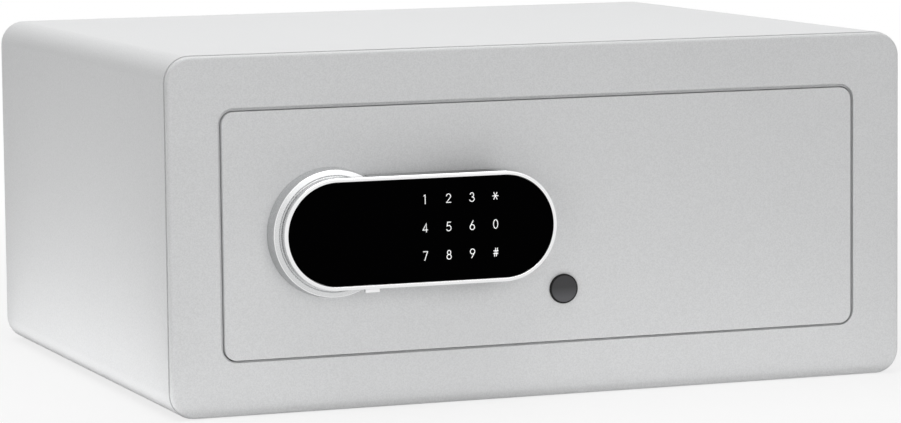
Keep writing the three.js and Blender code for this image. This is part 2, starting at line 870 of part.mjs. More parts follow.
// Two round bolts with chamfered tips, and the screws that hold them to the carriage
function roundBolts() {
  for (const [name, z] of Object.entries(boltHeights)) {
    const profile = [
      [0, 0],
      [boltRadius - boltChamfer, 0],
      [boltRadius, boltChamfer],
      [boltRadius, boltLength],
      [0, boltLength],
    ].map(([radius, along]) => new THREE.Vector2(radius, along));
    const bar = new THREE.LatheGeometry(profile, boltSteps).rotateZ(-Math.PI / 2);
    bar.translate(boltTipX, boltY, z);
    const threadEnd = webX - boltScrewLength;
    const hole = rodX(boltScrewRadius + clearance, boltY, z, threadEnd - clearance, boltRearX + overshoot);
    piece(bolts, `bolt_${name}`, 'zinc', cut(bar, hole));
    const shank = rodX(boltScrewRadius, boltY, z, threadEnd, webX + boltScrewHeadHeight / 2);
    const head = rodX(boltScrewHead, boltY, z, webX, webX + boltScrewHeadHeight);
    piece(bolts, `bolt_screw_${name}`, 'zinc', join(shank, head));
  }
}

// The lever's outline at a given y, drawn in by an inset
function oval(inset, y) {
  const [x, z] = [leverMidX, midZ];
  const radius = leverRadius - inset;
  return rounded(leverHalfWidth - inset, radius, radius, y, x, z, ovalSteps);
}

// Lever body: an oval shell, cut away behind so that it turns round the rose
function leverBody() {
  const shell = loft([
    oval(leverEdge, leverRear),
    oval(0, leverRear - leverEdge),
    oval(0, leverFront),
  ]);
  const rearPocket = cut(
    loft([oval(leverSkin, leverRear - leverRearWall), oval(leverSkin, leverFront - overshoot)]),
    rodY(roseRoomRadius + leverSkin, hubX, midZ, leverFront - overshoot * 2, 0, roundSteps),
  );
  const frontPocket = loft([
    oval(leverSkin, leverOverRose - leverFloor),
    oval(leverSkin, leverFront - overshoot),
  ]);
  const roseRoom = rodY(roseRoomRadius, hubX, midZ, leverOverRose, overshoot, roundSteps);
  const boss = rodY(bossRadius, hubX, midZ, leverOverRose - leverFloor / 2, -bossEnd, holeSteps);
  const spindleHole = rodY(
    spindleRadius + clearance,
    hubX,
    midZ,
    leverOverRose + leverFloor - clearance,
    0,
  );
  const socketHole = block(
    socketX() - socketWidth / 2 - clearance,
    socketX() + socketWidth / 2 + clearance,
    socketFront() - clearance,
    socketFront() + socketDepth + clearance,
    midZ - leverRadius - overshoot,
    midZ - leverRadius + leverSkin + overshoot,
  );
  const hollowed = cut(shell, rearPocket, frontPocket, roseRoom);
  piece(lever, 'lever_body', 'silver', cut(join(hollowed, boss), spindleHole, socketHole));
}

function socketX() {
  return hubX + socketOffset;
}

function socketFront() {
  return leverFront + clearance;
}

// Power socket: a small metal shell through the lever's lower wall, open downwards
function powerSocket() {
  const [x, y0] = [socketX(), socketFront()];
  const z0 = midZ - leverRadius - socketProud;
  const shell = block(
    x - socketWidth / 2,
    x + socketWidth / 2,
    y0,
    y0 + socketDepth,
    z0,
    z0 + socketHeight,
  );
  const mouth = block(
    x - socketWidth / 2 + socketWall,
    x + socketWidth / 2 - socketWall,
    y0 + socketWall,
    y0 + socketDepth - socketWall,
    z0 - overshoot,
    z0 + socketHeight - socketWall,
  );
  piece(lever, 'power_socket', 'silver', cut(shell, mouth));
}

// Bezel: the polished rim round the glass
function leverBezel() {
  const rings = [
    oval(0, bezelBack),
    ...roundedEdge(
      leverHalfWidth,
      leverRadius,
      leverRadius,
      bezelFront,
      bezelEdge,
      leverMidX,
      midZ,
      ovalSteps,
    ),
    oval(leverSkin - bezelEdge / 2, bezelFront),
    oval(leverSkin, bezelFront + bezelEdge / 2),
    oval(leverSkin, bezelBack),
  ];
  piece(lever, 'lever_bezel', 'silver', loft(rings, true));
}

function glassPanel() {
  const inset = leverSkin + clearance;
  const rings = [
    oval(inset, glassBack),
    oval(inset, glassFront + glassEdge),
    oval(inset + glassEdge, glassFront),
  ];
  piece(lever, 'glass_panel', 'glass', loft(rings));
}

function keypadBoard() {
  const x0 = hubX + roseRoomRadius + leverSkin + keypadBoardMargin;
  const x1 = hubX + leverReach + keypadBoardReach;
  const y0 = glassBack + clearance;
  const half = keypadBoardHeight / 2;
  const board = block(x0, x1, y0, y0 + boardThickness, midZ - half, midZ + half);
  piece(lever, 'keypad_board', 'board', board);
}

function spindle() {
  const start = leverOverRose + leverFloor;
  piece(lever, 'spindle', 'steel', rodY(spindleRadius, hubX, midZ, start, spindleEnd));
}

// Crank: the arm on the spindle whose pin drives the carriage
function crank() {
  const hub = rodY(crankHubRadius, hubX, midZ, crankFront, crankBack, holeSteps);
  const arm = block(0, crankRadius, crankFront, crankBack, -crankArmWidth / 2, crankArmWidth / 2);
  arm.rotateY(Math.PI / 2 - crankAngle).translate(hubX, 0, midZ);
  const end = rodY(crankArmWidth / 2, crankPinX, crankPinZ, crankFront, crankBack);
  const pin = rodY(crankPinRadius, crankPinX, crankPinZ, crankFront, webBack + crankPinEnd);
  const bore = rodY(spindleRadius + clearance, hubX, midZ, crankFront - overshoot, crankBack + overshoot);
  piece(lever, 'crank', 'steel', cut(join(hub, arm, end, pin), bore));
}

function spindleClip() {
  const y0 = crankBack + clearance;
  const disc = rodY(clipRadius, hubX, midZ, y0, y0 + clipThickness);
  const bore = rodY(spindleRadius + clearance, hubX, midZ, y0 - overshoot, y0 + clipThickness + overshoot);
  piece(lever, 'spindle_clip', 'zinc', cut(disc, bore));
}

// Blocking solenoid on its bracket, with the plunger that drops into the carriage's notches
function solenoidUnit() {
  const x0 = plungerX - solenoidWidth / 2;
  const [y0, y1] = [plungerY - solenoidDepth / 2, plungerY + solenoidDepth / 2];
  const coil = block(x0, x0 + solenoidWidth, y0, y1, solenoidBottom, solenoidTop);
  const boreTop = solenoidTop - solenoidEnd;
  const bore = rodZ(plungerRadius + clearance, plungerX, plungerY, solenoidBottom - overshoot, boreTop);
  piece(door, 'solenoid', 'dark', cut(coil, bore));
  const legX = x0 + solenoidWidth + clearance;
  const rise = [solenoidBottom + bracketInset, solenoidTop - bracketInset];
  const leg = block(legX, legX + bracketThickness, doorThickness, y1, ...rise);
  const foot = block(legX, legX + bracketFoot, doorThickness, doorThickness + bracketThickness, ...rise);
  piece(door, 'solenoid_bracket', 'steel', join(leg, foot));
  const rod = rodZ(plungerRadius, plungerX, plungerY, plungerTip, plungerTop);
  const collar = rodZ(plungerRadius + plungerCollar, plungerX, plungerY, collarBottom, collarTop);
  placeMoving('plunger', 'zinc', join(rod, collar));
}

// Plunger spring: a coil between the collar and the solenoid
class Helix extends THREE.Curve {
  constructor(radius, rise, turns) {
    super();
    Object.assign(this, { radius, rise, turns });
  }

  getPoint(t, target = new THREE.Vector3()) {
    const angle = 2 * Math.PI * this.turns * t;
    return target.set(this.radius * Math.cos(angle), this.radius * Math.sin(angle), this.rise * t);
  }
}

function plungerSpring() {
  const radius = plungerRadius + clearance * 2 + springWire / 2;
  const low = collarTop + springWire / 2 + clearance;
  const high = solenoidBottom - springWire / 2 - clearance;
  const wire = new THREE.Shape();
  for (let i = 0; i < wireSteps; i++) {
    const angle = (2 * Math.PI * i) / wireSteps;
    const point = [(springWire / 2) * Math.cos(angle), (springWire / 2) * Math.sin(angle)];
    if (i === 0) wire.moveTo(...point);
    else wire.lineTo(...point);
  }
  wire.closePath();
  const coil = new THREE.ExtrudeGeometry(wire, {
    steps: springTurns * helixSteps,
    curveSegments: 1,
    extrudePath: new Helix(radius, high - low, springTurns),
  });
  piece(door, 'plunger_spring', 'steel', coil.translate(plungerX, plungerY, low));
}

// Key lock: housing, plug with its key slot, cam and nut, and the cap that hides it
function keyLock() {
  const housingEnds = [keyHousingFront - overshoot, keyHousingBack + overshoot];
  const housing = cut(
    rodY(keyHousingRadius, keyX, keyZ, keyHousingFront, keyHousingBack, holeSteps),
    rodY(keyPlugRadius + clearance, keyX, keyZ, ...housingEnds),
  );
  piece(door, 'key_housing', 'zinc', housing);
  const nutFront = doorThickness + clearance;
  const nutEnds = [nutFront - overshoot, nutFront + keyNutThickness + overshoot];
  const nut = cut(
    rodY(keyNutRadius, keyX, keyZ, nutFront, nutFront + keyNutThickness, nutSides),
    rodY(keyHousingRadius + clearance, keyX, keyZ, ...nutEnds, holeSteps),
  );
  piece(door, 'key_nut', 'zinc', nut);
  const plug = cut(
    rodY(keyPlugRadius, keyX, keyZ, keyHousingFront, keyPlugEnd),
    block(
      keyX - keySlotWidth / 2,
      keyX + keySlotWidth / 2,
      keyHousingFront - overshoot,
      keyHousingFront + keySlotDepth,
      keyZ - keySlotHeight / 2,
      keyZ + keySlotHeight / 2,
    ),
  );
  placeMoving('key_plug', 'brass', plug);
  const cam = cut(
    join(
      rodY(camHubRadius, keyX, keyZ, camFront, camBack),
      block(keyX - camLength, keyX, camFront, camBack, keyZ - camWidth / 2, keyZ + camWidth / 2),
    ),
    rodY(keyPlugRadius + clearance, keyX, keyZ, camFront - overshoot, camBack + overshoot),
  );
  placeMoving('key_cam', 'steel', cam);
  const stemRadius = keyHousingRadius - clearance;
  const cap = turned(
    [
      [0, -capProud],
      [capRadius - capEdge * 3, -capProud],
      [capRadius - capEdge, -capProud + capEdge],
      [capRadius, -capProud + capEdge * 2],
      [capRadius, 0],
      [stemRadius, 0],
      [stemRadius, capStem],
      [0, capStem],
    ],
    keyX,
    keyZ,
  );
  placeMoving('key_cap', 'capGrey', cap);
}

// A piece that moves by itself hangs straight under the safe, at the front plane
function placeMoving(name, finish, geometry) {
  piece(safe, name, finish, geometry).position.y = front;
}

// Control board on four standoffs behind the door plate, with its larger components
function controlBoard() {
  const [x0, x1] = [boardX - boardLength / 2, boardX + boardLength / 2];
  const middle = midZ + boardRise;
  const [z0, z1] = [middle - boardHeight / 2, middle + boardHeight / 2];
  const y0 = doorThickness + boardStandoff;
  const y1 = y0 + boardThickness;
  const standoffs = [x0 + standoffInset, x1 - standoffInset].flatMap((x) =>
    [z0 + standoffInset, z1 - standoffInset].map((z) =>
      rodY(standoffRadius, x, z, doorThickness, y0 + overshoot, screwHoleSteps),
    ),
  );
  const parts = components.map((part) =>
    block(
      boardX + (part.x - part.width / 2) * boardLength,
      boardX + (part.x + part.width / 2) * boardLength,
      y1 - boardThickness / 2,
      y1 + part.rise * boardThickness,
      middle + (part.z - part.height / 2) * boardHeight,
      middle + (part.z + part.height / 2) * boardHeight,
    ),
  );
  piece(door, 'control_board', 'board', join(block(x0, x1, y0, y1, z0, z1), ...standoffs, ...parts));
}

// Reset button: a red cap on a stem that reaches to the control board
function resetButton() {
  const capBack = coverBack + resetProud;
  const stemFront = doorThickness + boardStandoff + boardThickness + resetTravel + clearance;
  const flangeBack = coverFront - clearance;
  const flangeFront = flangeBack - resetFlangeThickness;
  const button = turned(
    [
      [0, stemFront],
      [resetStemRadius, stemFront],
      [resetStemRadius, flangeFront],
      [resetRadius + resetFlange, flangeFront],
      [resetRadius + resetFlange, flangeBack],
      [resetRadius, flangeBack],
      [resetRadius, capBack - resetEdge],
      [resetRadius - resetEdge, capBack],
      [0, capBack],
    ],
    resetX,
    resetZ,
    smallSteps,
  );
  placeMoving('reset_button', 'red', button);
}

// Battery case: an open tray on four feet, with its cells side by side
function batteryCase() {
  const outside = block(
    caseX - caseHalfWidth,
    caseX + caseHalfWidth,
    caseFloor,
    caseBack,
    midZ - caseHalfHeight,
    midZ + caseHalfHeight,
  );
  const inside = block(
    caseX - caseHalfWidth + caseWall,
    caseX + caseHalfWidth - caseWall,
    caseFloor + caseWall,
    caseBack + overshoot,
    midZ - caseHalfHeight + caseWall,
    midZ + caseHalfHeight - caseWall,
  );
  const feet = [-1, 1].flatMap((side) =>
    [-1, 1].map((rise) => {
      const x = caseX + side * (caseHalfWidth - standoffInset);
      const z = midZ + rise * (caseHalfHeight - standoffInset);
      return rodY(standoffRadius, x, z, doorThickness, caseFloor + overshoot, screwHoleSteps);
    }),
  );
  piece(door, 'battery_case', 'dark', join(cut(outside, inside), ...feet));
  for (let i = 0; i < cellCount; i++) {
    const x = caseX + (i - (cellCount - 1) / 2) * cellPitch;
    const up = i % 2 === 0 ? 1 : -1;
    const can = rodZ(cellRadius, x, cellY, midZ - cellLength / 2, midZ + cellLength / 2);
    const end = midZ + (up * cellLength) / 2;
    const [z0, z1] = [end - up * overshoot, end + up * terminalHeight];
    const terminal = rodZ(terminalRadius, x, cellY, Math.min(z0, z1), Math.max(z0, z1));
    piece(door, `cell_${i + 1}`, 'cell', join(can, terminal));
  }
}

// Battery cover: slides between the rails of the mechanism cover
function batteryCover() {
  const [halfX, halfZ] = [caseHalfWidth + batteryCoverMargin, caseHalfHeight + batteryCoverMargin];
  const [y0, y1] = [batteryCoverFront, batteryCoverBack];
  const plate = block(caseX - halfX, caseX + halfX, y0, y1, midZ - halfZ, midZ + halfZ);
  const grips = Array.from({ length: gripCount }, (_, i) => {
    const x = caseX - halfX + gripMargin + i * gripPitch;
    return block(x, x + gripWidth, y1 - overshoot, y1 + gripHeight, midZ - halfZ / 2, midZ + halfZ / 2);
  });
  placeMoving('battery_cover', 'dark', join(plate, ...grips));
}

bodyWrap();
basePlate();
frontFrame();
frameLip();
backPanel();
floorMat();
hingeBrackets();
doorStops();
doorPlate();
doorReturn();
hingeBlocksAndPins();
mechanismCover();
coverScrews();
boltGuide();
rose();
roseScrews();
spindleBush();
guidePins();
boltCarriage();
roundBolts();
leverBody();
powerSocket();
leverBezel();
glassPanel();
keypadBoard();
spindle();
crank();
spindleClip();
solenoidUnit();
plungerSpring();
keyLock();
controlBoard();
resetButton();
batteryCase();
batteryCover();

export default safe;
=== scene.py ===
"""A furniture safe with a keypad lever: the looks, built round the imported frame."""

import json
import math

import bmesh
import bpy
from mathutils import Matrix, Vector

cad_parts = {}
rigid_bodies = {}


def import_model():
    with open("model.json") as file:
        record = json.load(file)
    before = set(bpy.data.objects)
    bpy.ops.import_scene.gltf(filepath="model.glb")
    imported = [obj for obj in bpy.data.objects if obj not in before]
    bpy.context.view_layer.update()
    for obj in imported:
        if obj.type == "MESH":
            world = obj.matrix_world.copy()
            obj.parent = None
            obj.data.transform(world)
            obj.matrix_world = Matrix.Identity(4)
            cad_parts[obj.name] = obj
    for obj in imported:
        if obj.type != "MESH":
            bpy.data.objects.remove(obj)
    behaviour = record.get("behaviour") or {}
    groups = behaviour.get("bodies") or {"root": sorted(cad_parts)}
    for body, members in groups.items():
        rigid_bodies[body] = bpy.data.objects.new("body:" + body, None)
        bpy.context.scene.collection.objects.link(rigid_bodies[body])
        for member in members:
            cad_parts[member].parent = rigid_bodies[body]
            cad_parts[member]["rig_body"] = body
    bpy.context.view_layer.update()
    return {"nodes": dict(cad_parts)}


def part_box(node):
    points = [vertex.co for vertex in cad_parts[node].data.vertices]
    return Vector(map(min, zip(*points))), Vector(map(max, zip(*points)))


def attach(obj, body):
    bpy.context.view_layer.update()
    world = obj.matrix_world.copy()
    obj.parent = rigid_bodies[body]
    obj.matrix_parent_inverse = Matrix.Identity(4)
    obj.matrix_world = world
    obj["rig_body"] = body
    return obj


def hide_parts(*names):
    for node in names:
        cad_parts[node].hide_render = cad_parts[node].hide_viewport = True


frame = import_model()

bl_info = {
    "name": "Furniture safe",
    "version": (1, 0, 0),
    "blender": (4, 5, 0),
    "location": "View3D > Sidebar > Safe",
    "description": "Builds the pieces and finishes of a furniture safe with a keypad lever",
    "category": "Object",
}

MM = 0.001


def middle_of(node):
    """The middle of a CAD node, seen along Y."""
    low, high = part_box(node)
    return ((low.x + high.x) / 2, (low.z + high.z) / 2)


def half_of(node):
    """Half the width and half the height of a CAD node, seen along Y."""
    low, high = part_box(node)
    return ((high.x - low.x) / 2, (high.z - low.z) / 2)


def depths_of(node):
    """The foremost and rearmost depth of a CAD node."""
    low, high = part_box(node)
    return low.y, high.y


# Places taken from the frame, in metres
FRONT = depths_of("front_frame")[0]
GLASS_FRONT, GLASS_BACK = depths_of("glass_panel")
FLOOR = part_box("body_wrap")[0].z
HUB = middle_of("lever_rose")
CAP = middle_of("key_cap")
CAP_LOW, CAP_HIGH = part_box("key_cap")

# Fineness of the round shapes: steps in a quarter, and in a full turn
CORNER_STEPS = 16
OVAL_STEPS = 48
EDGE_STEPS = 8
FINE_EDGE_STEPS = 4
RIM_EDGE_STEPS = 5
CAP_EDGE_STEPS = 6
ROUND_STEPS = 128
BOLT_STEPS = 96
CELL_STEPS = 64
HOLE_STEPS = 48
SCREW_STEPS = 32

# An edge that turns by more than SHARP is sharp, and by less than FLAT isn't one
SHARP = math.radians(33)
FLAT = math.radians(0.5)

# Distances under which two points are one: in a CAD mesh or on an axis, in a piece, in a stroke
SAME_PLACE = 2e-6
WELD = SAME_PLACE / 4
NO_LENGTH = 1e-9


class Term:
    """A shader socket that can stand in a sum; each expression adds its Math nodes."""

    def __init__(self, finish, socket):
        self.finish = finish
        self.socket = socket

    def __add__(self, other):
        return self.finish.maths("ADD", self, other)

    def __sub__(self, other):
        return self.finish.maths("SUBTRACT", self, other)

    def __rsub__(self, other):
        return self.finish.maths("SUBTRACT", other, self)

    def __mul__(self, other):
        return self.finish.maths("MULTIPLY", self, other)

    def __truediv__(self, other):
        return self.finish.maths("DIVIDE", self, other)

    def __rtruediv__(self, other):
        return self.finish.maths("DIVIDE", other, self)

    __radd__ = __add__
    __rmul__ = __mul__


class Finish:
    """One finish in the making: a material and the nodes that go into it."""

    def __init__(self, name, tree=None):
        if tree is None:
            self.material = bpy.data.materials.new(name)
            self.material.use_nodes = True
            tree = self.material.node_tree
        self.tree = tree
        self.tree.nodes.clear()

    def node(self, kind, settings=None, sockets=None, output=0):
        """Adds a node, makes its settings first, then fills its sockets, and gives one output."""
        made = self.tree.nodes.new(kind)
        for key, value in (settings or {}).items():
            if key == "stops":
                self.set_stops(made.color_ramp, value)
            else:
                setattr(made, key, value)
        for key, value in (sockets or {}).items():
            if isinstance(value, Term):
                self.tree.links.new(value.socket, made.inputs[key])
            else:
                made.inputs[key].default_value = value
        return Term(self, made.outputs[output]) if len(made.outputs) else None

    @staticmethod
    def set_stops(ramp, stops):
        while len(ramp.elements) < len(stops):
            ramp.elements.new(1.0)
        for element, (position, value) in zip(ramp.elements, stops):
            element.position = position
            element.color = (value, value, value, 1)

    def maths(self, operation, *terms):
        return self.node("ShaderNodeMath", {"operation": operation}, dict(enumerate(terms)))

    def limited(self, term):
        return self.node("ShaderNodeMath", {"operation": "ADD", "use_clamp": True}, {0: term, 1: 0.0})

    def place(self):
        return self.node("ShaderNodeTexCoord", output="Object")

    def stretched(self, scale):
        """The object's own coordinates, scaled differently along each axis."""
        settings = {"operation": "MULTIPLY"}
        return self.node("ShaderNodeVectorMath", settings, {0: self.place(), 1: scale})

    def along(self, axis):
        """One of the object's own coordinates, in metres."""
        return self.node("ShaderNodeSeparateXYZ", sockets={0: self.place()}, output=axis)

    def noise(self, scale, detail=2.0, place=None):
        sockets = {"Vector": place or self.place(), "Scale": scale, "Detail": detail}
        return self.node("ShaderNodeTexNoise", sockets=sockets)

    def cells(self, scale, place=None):
        sockets = {"Vector": place or self.place(), "Scale": scale}
        return self.node("ShaderNodeTexVoronoi", sockets=sockets)

    def ramp(self, term, *stops):
        return self.node("ShaderNodeValToRGB", {"stops": stops}, {0: term})

    def mix(self, factor, first, second):
        return self.node("ShaderNodeMix", {"data_type": "RGBA"}, {0: factor, 6: first, 7: second}, 2)

    def tones(self, factor, colour, first, second):
        """A colour between two shades of itself."""
        return self.mix(factor, shade(colour, first), shade(colour, second))

    def bump(self, height, strength, distance):
        sockets = {"Strength": strength, "Distance": distance, "Height": height}
        return self.node("ShaderNodeBump", sockets=sockets)

    def white(self, kind, strength=1.0):
        """A shader that gives off white light."""
        return self.node(kind, sockets={"Color": (1, 1, 1, 1), "Strength": strength})

    def surface(self, **sockets):
        named = {key.replace("_", " "): value for key, value in sockets.items()}
        shader = self.node("ShaderNodeBsdfPrincipled", sockets=named)
        self.node("ShaderNodeOutputMaterial", sockets={0: shader})
        return self.material


def shade(colour, factor):
    """A colour times a factor, with full alpha."""
    return (*(min(1.0, part * factor) for part in colour[:3]), 1.0)


def powder_coat(colour):
    """Satin powder coat: fine orange peel, a grain of small flecks and slow clouds."""
    finish = Finish("powder_coat")
    peel = finish.noise(650.0, 2.0)
    grain = finish.ramp(finish.noise(1500.0, 1.0), (0.3, 0.0), (0.7, 1.0))
    cloud = finish.noise(9.0, 3.0)
    fleck = finish.limited(grain * 0.8 + cloud * 0.3 - 0.05)
    return finish.surface(
        Base_Color=finish.tones(fleck, colour, 0.925, 1.065),
        Roughness=peel * 0.12 + cloud * 0.05 + 0.36,
        Normal=finish.bump(peel + grain * 0.25, 0.35, 0.00004),
        IOR=1.45,
    )


def paint_light_along(finish, base, colour, sheen):
    """The base, going over to factor times the colour along an axis by the ramp's stops.

    This paints light or shade into the colour; it is given as (axis, start, length, factor, stops),
    or None.
    """
    if not sheen:
        return base
    axis, start, length, factor, stops = sheen
    share = finish.ramp((finish.along(axis) - start) / length, *stops)
    return finish.mix(share, base, shade(colour, factor))


def satin_silver(colour, name, sheen=None):
    """Satin plating on a cast piece: soft, with a very fine tooth."""
    finish = Finish(name)
    tooth = finish.noise(2400.0, 2.0)
    cloud = finish.noise(40.0, 3.0)
    base = finish.tones(cloud, colour, 0.96, 1.02)
    return finish.surface(
        # Painted light or shade along one axis, where one is given
        Base_Color=paint_light_along(finish, base, colour, sheen),
        Roughness=tooth * 0.08 + cloud * 0.06 + 0.2,
        Normal=finish.bump(tooth, 0.15, 0.00001),
        Metallic=1.0,
    )


def polished_chrome(colour):
    """Polished rim: nearly a mirror, with faint hairlines along it."""
    finish = Finish("polished_chrome")
    hair = finish.noise(900.0, 3.0, finish.stretched((0.15, 1.0, 1.0)))
    return finish.surface(
        Base_Color=finish.tones(hair, colour, 0.97, 1.01),
        Roughness=hair * 0.08 + 0.07,
        Metallic=1.0,
    )


def black_glass(colour):
    """Gloss black touch panel with the faintest handling marks."""
    finish = Finish("black_glass")
    smear = finish.noise(60.0, 4.0, finish.stretched((1.0, 1.0, 0.4)))
    return finish.surface(
        Base_Color=finish.tones(smear, colour, 0.8, 1.3),
        Roughness=smear * 0.06 + 0.05,
        Specular_IOR_Level=0.004,
    )


def white_print(colour):
    """Screen print under the touch panel: flat white ink with a slight mottle and a painted glow."""
    finish = Finish("white_print")
    ink = finish.noise(1500.0, 2.0)
    return finish.surface(
        Base_Color=finish.tones(ink, colour, 0.94, 1.03),
        Roughness=ink * 0.1 + 0.4,
        Specular_IOR_Level=0.1,
        # The faint emission is a painted glow: the ink is no lamp
        Emission_Color=(1.0, 1.0, 1.0, 1.0),
        Emission_Strength=0.25,
    )


def matt_plastic(colour, name, tooth=900.0, gloss=0.45, sheen=None):
    """Moulded plastic with a spark-eroded grain."""
    finish = Finish(name)
    grain = finish.noise(tooth, 3.0)
    cloud = finish.noise(30.0, 2.0)
    mottle = finish.limited(cloud + grain * 0.3 - 0.15)
    base = finish.tones(mottle, colour, 0.85, 1.15)
    return finish.surface(
        # Painted light or shade along one axis, where one is given
        Base_Color=paint_light_along(finish, base, colour, sheen),
        Roughness=grain * 0.15 + gloss,
        Normal=finish.bump(grain, 0.3, 0.00003),
    )


def gloss_plastic(colour, name):
    """Glossy moulded plastic with a slight waviness."""
    finish = Finish(name)
    wave = finish.noise(180.0, 2.0)
    return finish.surface(
        Base_Color=finish.tones(wave, colour, 0.92, 1.06),
        Roughness=wave * 0.12 + 0.2,
        Normal=finish.bump(wave, 0.1, 0.00002),
    )


def rolled_steel(colour):
    """Bare sheet steel: long rolling marks, light oil and a few darker patches."""
    finish = Finish("mechanism_steel")
    lines = finish.noise(1400.0, 3.0, finish.stretched((0.04, 1.0, 1.0)))
    oil = finish.noise(26.0, 4.0)
    patches = finish.limited(oil * 0.7 + lines * 0.3)
    return finish.surface(
        Base_Color=finish.tones(patches, colour, 0.82, 1.08),
        Roughness=lines * 0.18 + oil * 0.12 + 0.2,
        Normal=finish.bump(lines, 0.25, 0.00001),
        Metallic=1.0,
    )


def zinc_plate(colour):
    """Bright zinc: a bluish bloom over a fine, even tooth."""
    finish = Finish("zinc_plate")
    bloom = finish.noise(70.0, 4.0)
    tooth = finish.noise(2000.0, 1.0)
    bluish = (colour[0] * 0.97, colour[1], min(1, colour[2] * 1.02), 1)
    return finish.surface(
        Base_Color=finish.mix(bloom, shade(colour, 0.9), bluish),
        Roughness=bloom * 0.16 + tooth * 0.06 + 0.18,
        Normal=finish.bump(tooth, 0.2, 0.00001),
        Metallic=1.0,
    )


def turned_brass(colour):
    """Turned brass: fine rings and a slight tarnish."""
    finish = Finish("turned_brass")
    rings = finish.noise(1800.0, 2.0, finish.stretched((0.2, 1.0, 0.2)))
    tarnish = finish.noise(60.0, 3.0)
    return finish.surface(
        Base_Color=finish.tones(tarnish, colour, 0.8, 1.1),
        Roughness=rings * 0.15 + tarnish * 0.1 + 0.18,
        Normal=finish.bump(rings, 0.2, 0.00001),
        Metallic=1.0,
    )


def needle_felt(colour):
    """Needle felt: matted fibres with small pits, the colour darker where the bump is low and lighter where
    it is raised.
    """
    finish = Finish("needle_felt")
    fibre = finish.noise(700.0, 6.0, finish.stretched((1.0, 0.35, 1.0)))
    pits = finish.cells(420.0)
    tuft = finish.noise(60.0, 3.0)
    height = finish.limited(fibre * 0.7 + pits * 0.3)
    raised = finish.ramp(height, (0.3, 0.0), (0.7, 1.0))
    return finish.surface(
        Base_Color=finish.tones(raised, colour, 0.5, 2.2),
        Roughness=tuft * 0.1 + 0.88,
        Normal=finish.bump(height, 0.8, 0.0006),
        Sheen_Weight=0.35,
        Sheen_Roughness=0.5,
    )


def circuit_board(colour):
    """Green circuit board: solder mask over rows of tracks, with bright pads."""
    finish = Finish("circuit_board")
    across = finish.cells(240.0, finish.stretched((1.0, 0.0, 0.25)))
    down = finish.cells(240.0, finish.stretched((0.25, 0.0, 1.0)))
    region = finish.ramp(finish.noise(45.0, 1.0), (0.48, 0.0), (0.52, 1.0))
    track = finish.ramp(region * across + (1 - region) * down, (0.18, 1.0), (0.24, 0.0))
    pads = finish.ramp(finish.cells(330.0), (0.1, 1.0), (0.13, 0.0))
    mask = finish.tones(track, colour, 0.75, 1.9)
    solder = (0.72, 0.68, 0.5, 1)
    return finish.surface(
        Base_Color=finish.mix(pads, mask, solder),
        Roughness=0.35 - pads * 0.1,
        Metallic=pads * 0.8,
        Normal=finish.bump(track, 0.3, 0.00003),
    )


def cell_sleeve(colour):
    """Shrink sleeve of a cell: smooth film, a little wrinkled."""
    finish = Finish("cell_sleeve")
    film = finish.noise(160.0, 3.0, finish.stretched((1.0, 1.0, 0.3)))
    return finish.surface(
        Base_Color=finish.tones(film, colour, 0.9, 1.08),
        Roughness=film * 0.1 + 0.22,
        Normal=finish.bump(film, 0.15, 0.00004),
        Coat_Weight=0.4,
        Coat_Roughness=0.15,
    )


def tone_of(name, description, default):
    """A colour as a property."""
    return bpy.props.FloatVectorProperty(
        name=name, description=description, default=default, subtype="COLOR", size=3, min=0.0, max=1.0
    )


def number_of(name, description, default, least=0.0, **kind):
    """A number as a property."""
    return bpy.props.FloatProperty(name=name, description=description, default=default, min=least, **kind)


def length_of(*words):
    """A length as a property."""
    return number_of(*words, unit="LENGTH", subtype="DISTANCE")


def power_of(*words):
    """A lamp's power as a property."""
    return number_of(*words, unit="POWER")


class SafeColours(bpy.types.PropertyGroup):
    """Colours of the finishes."""

    paint: tone_of("Paint", "Powder coat of the body and the door", (0.74, 0.745, 0.75))
    silver: tone_of("Silver", "Plating of the rose and the lever", (0.68, 0.685, 0.69))
    # The lever shell is a darker copy of the silver plating: painted shade for the lever's walls
    shell: tone_of("Lever shell", "Plating of the lever's walls", (0.62, 0.625, 0.63))
    # The rose wall is a darker copy of the silver plating, painted shade, with a painted highlight at its
    # top
    rim_wall: tone_of("Rose wall", "Turned side wall of the rose", (0.56, 0.565, 0.57))
    chrome: tone_of("Rim", "Polished rim round the glass", (0.88, 0.88, 0.885))
    glass: tone_of("Glass", "Gloss black touch panel", (0.0004, 0.0004, 0.0005))
    ink: tone_of("Digits", "Printed digits", (0.92, 0.92, 0.92))
    cap: tone_of("Key cap", "Cap over the key lock", (0.025, 0.025, 0.027))
    steel: tone_of("Steel", "Bare steel of the mechanism", (0.52, 0.525, 0.53))
    zinc: tone_of("Zinc", "Zinc plating of bolts, pins and screws", (0.66, 0.665, 0.675))
    brass: tone_of("Brass", "Key plug and spindle bush", (0.6, 0.44, 0.2))
    dark: tone_of("Dark plastic", "Battery case, battery cover and solenoid", (0.035, 0.036, 0.038))
    board: tone_of("Circuit board", "Solder mask of the boards", (0.02, 0.14, 0.06))
    sleeve: tone_of("Cell sleeve", "Sleeve of the battery cells", (0.3, 0.31, 0.32))
    band: tone_of("Cell band", "Band at the positive end of each cell", (0.55, 0.3, 0.12))
    felt: tone_of("Felt", "Floor mat", (0.03, 0.031, 0.034))
    red: tone_of("Reset button", "Push button on the door's back", (0.45, 0.015, 0.015))


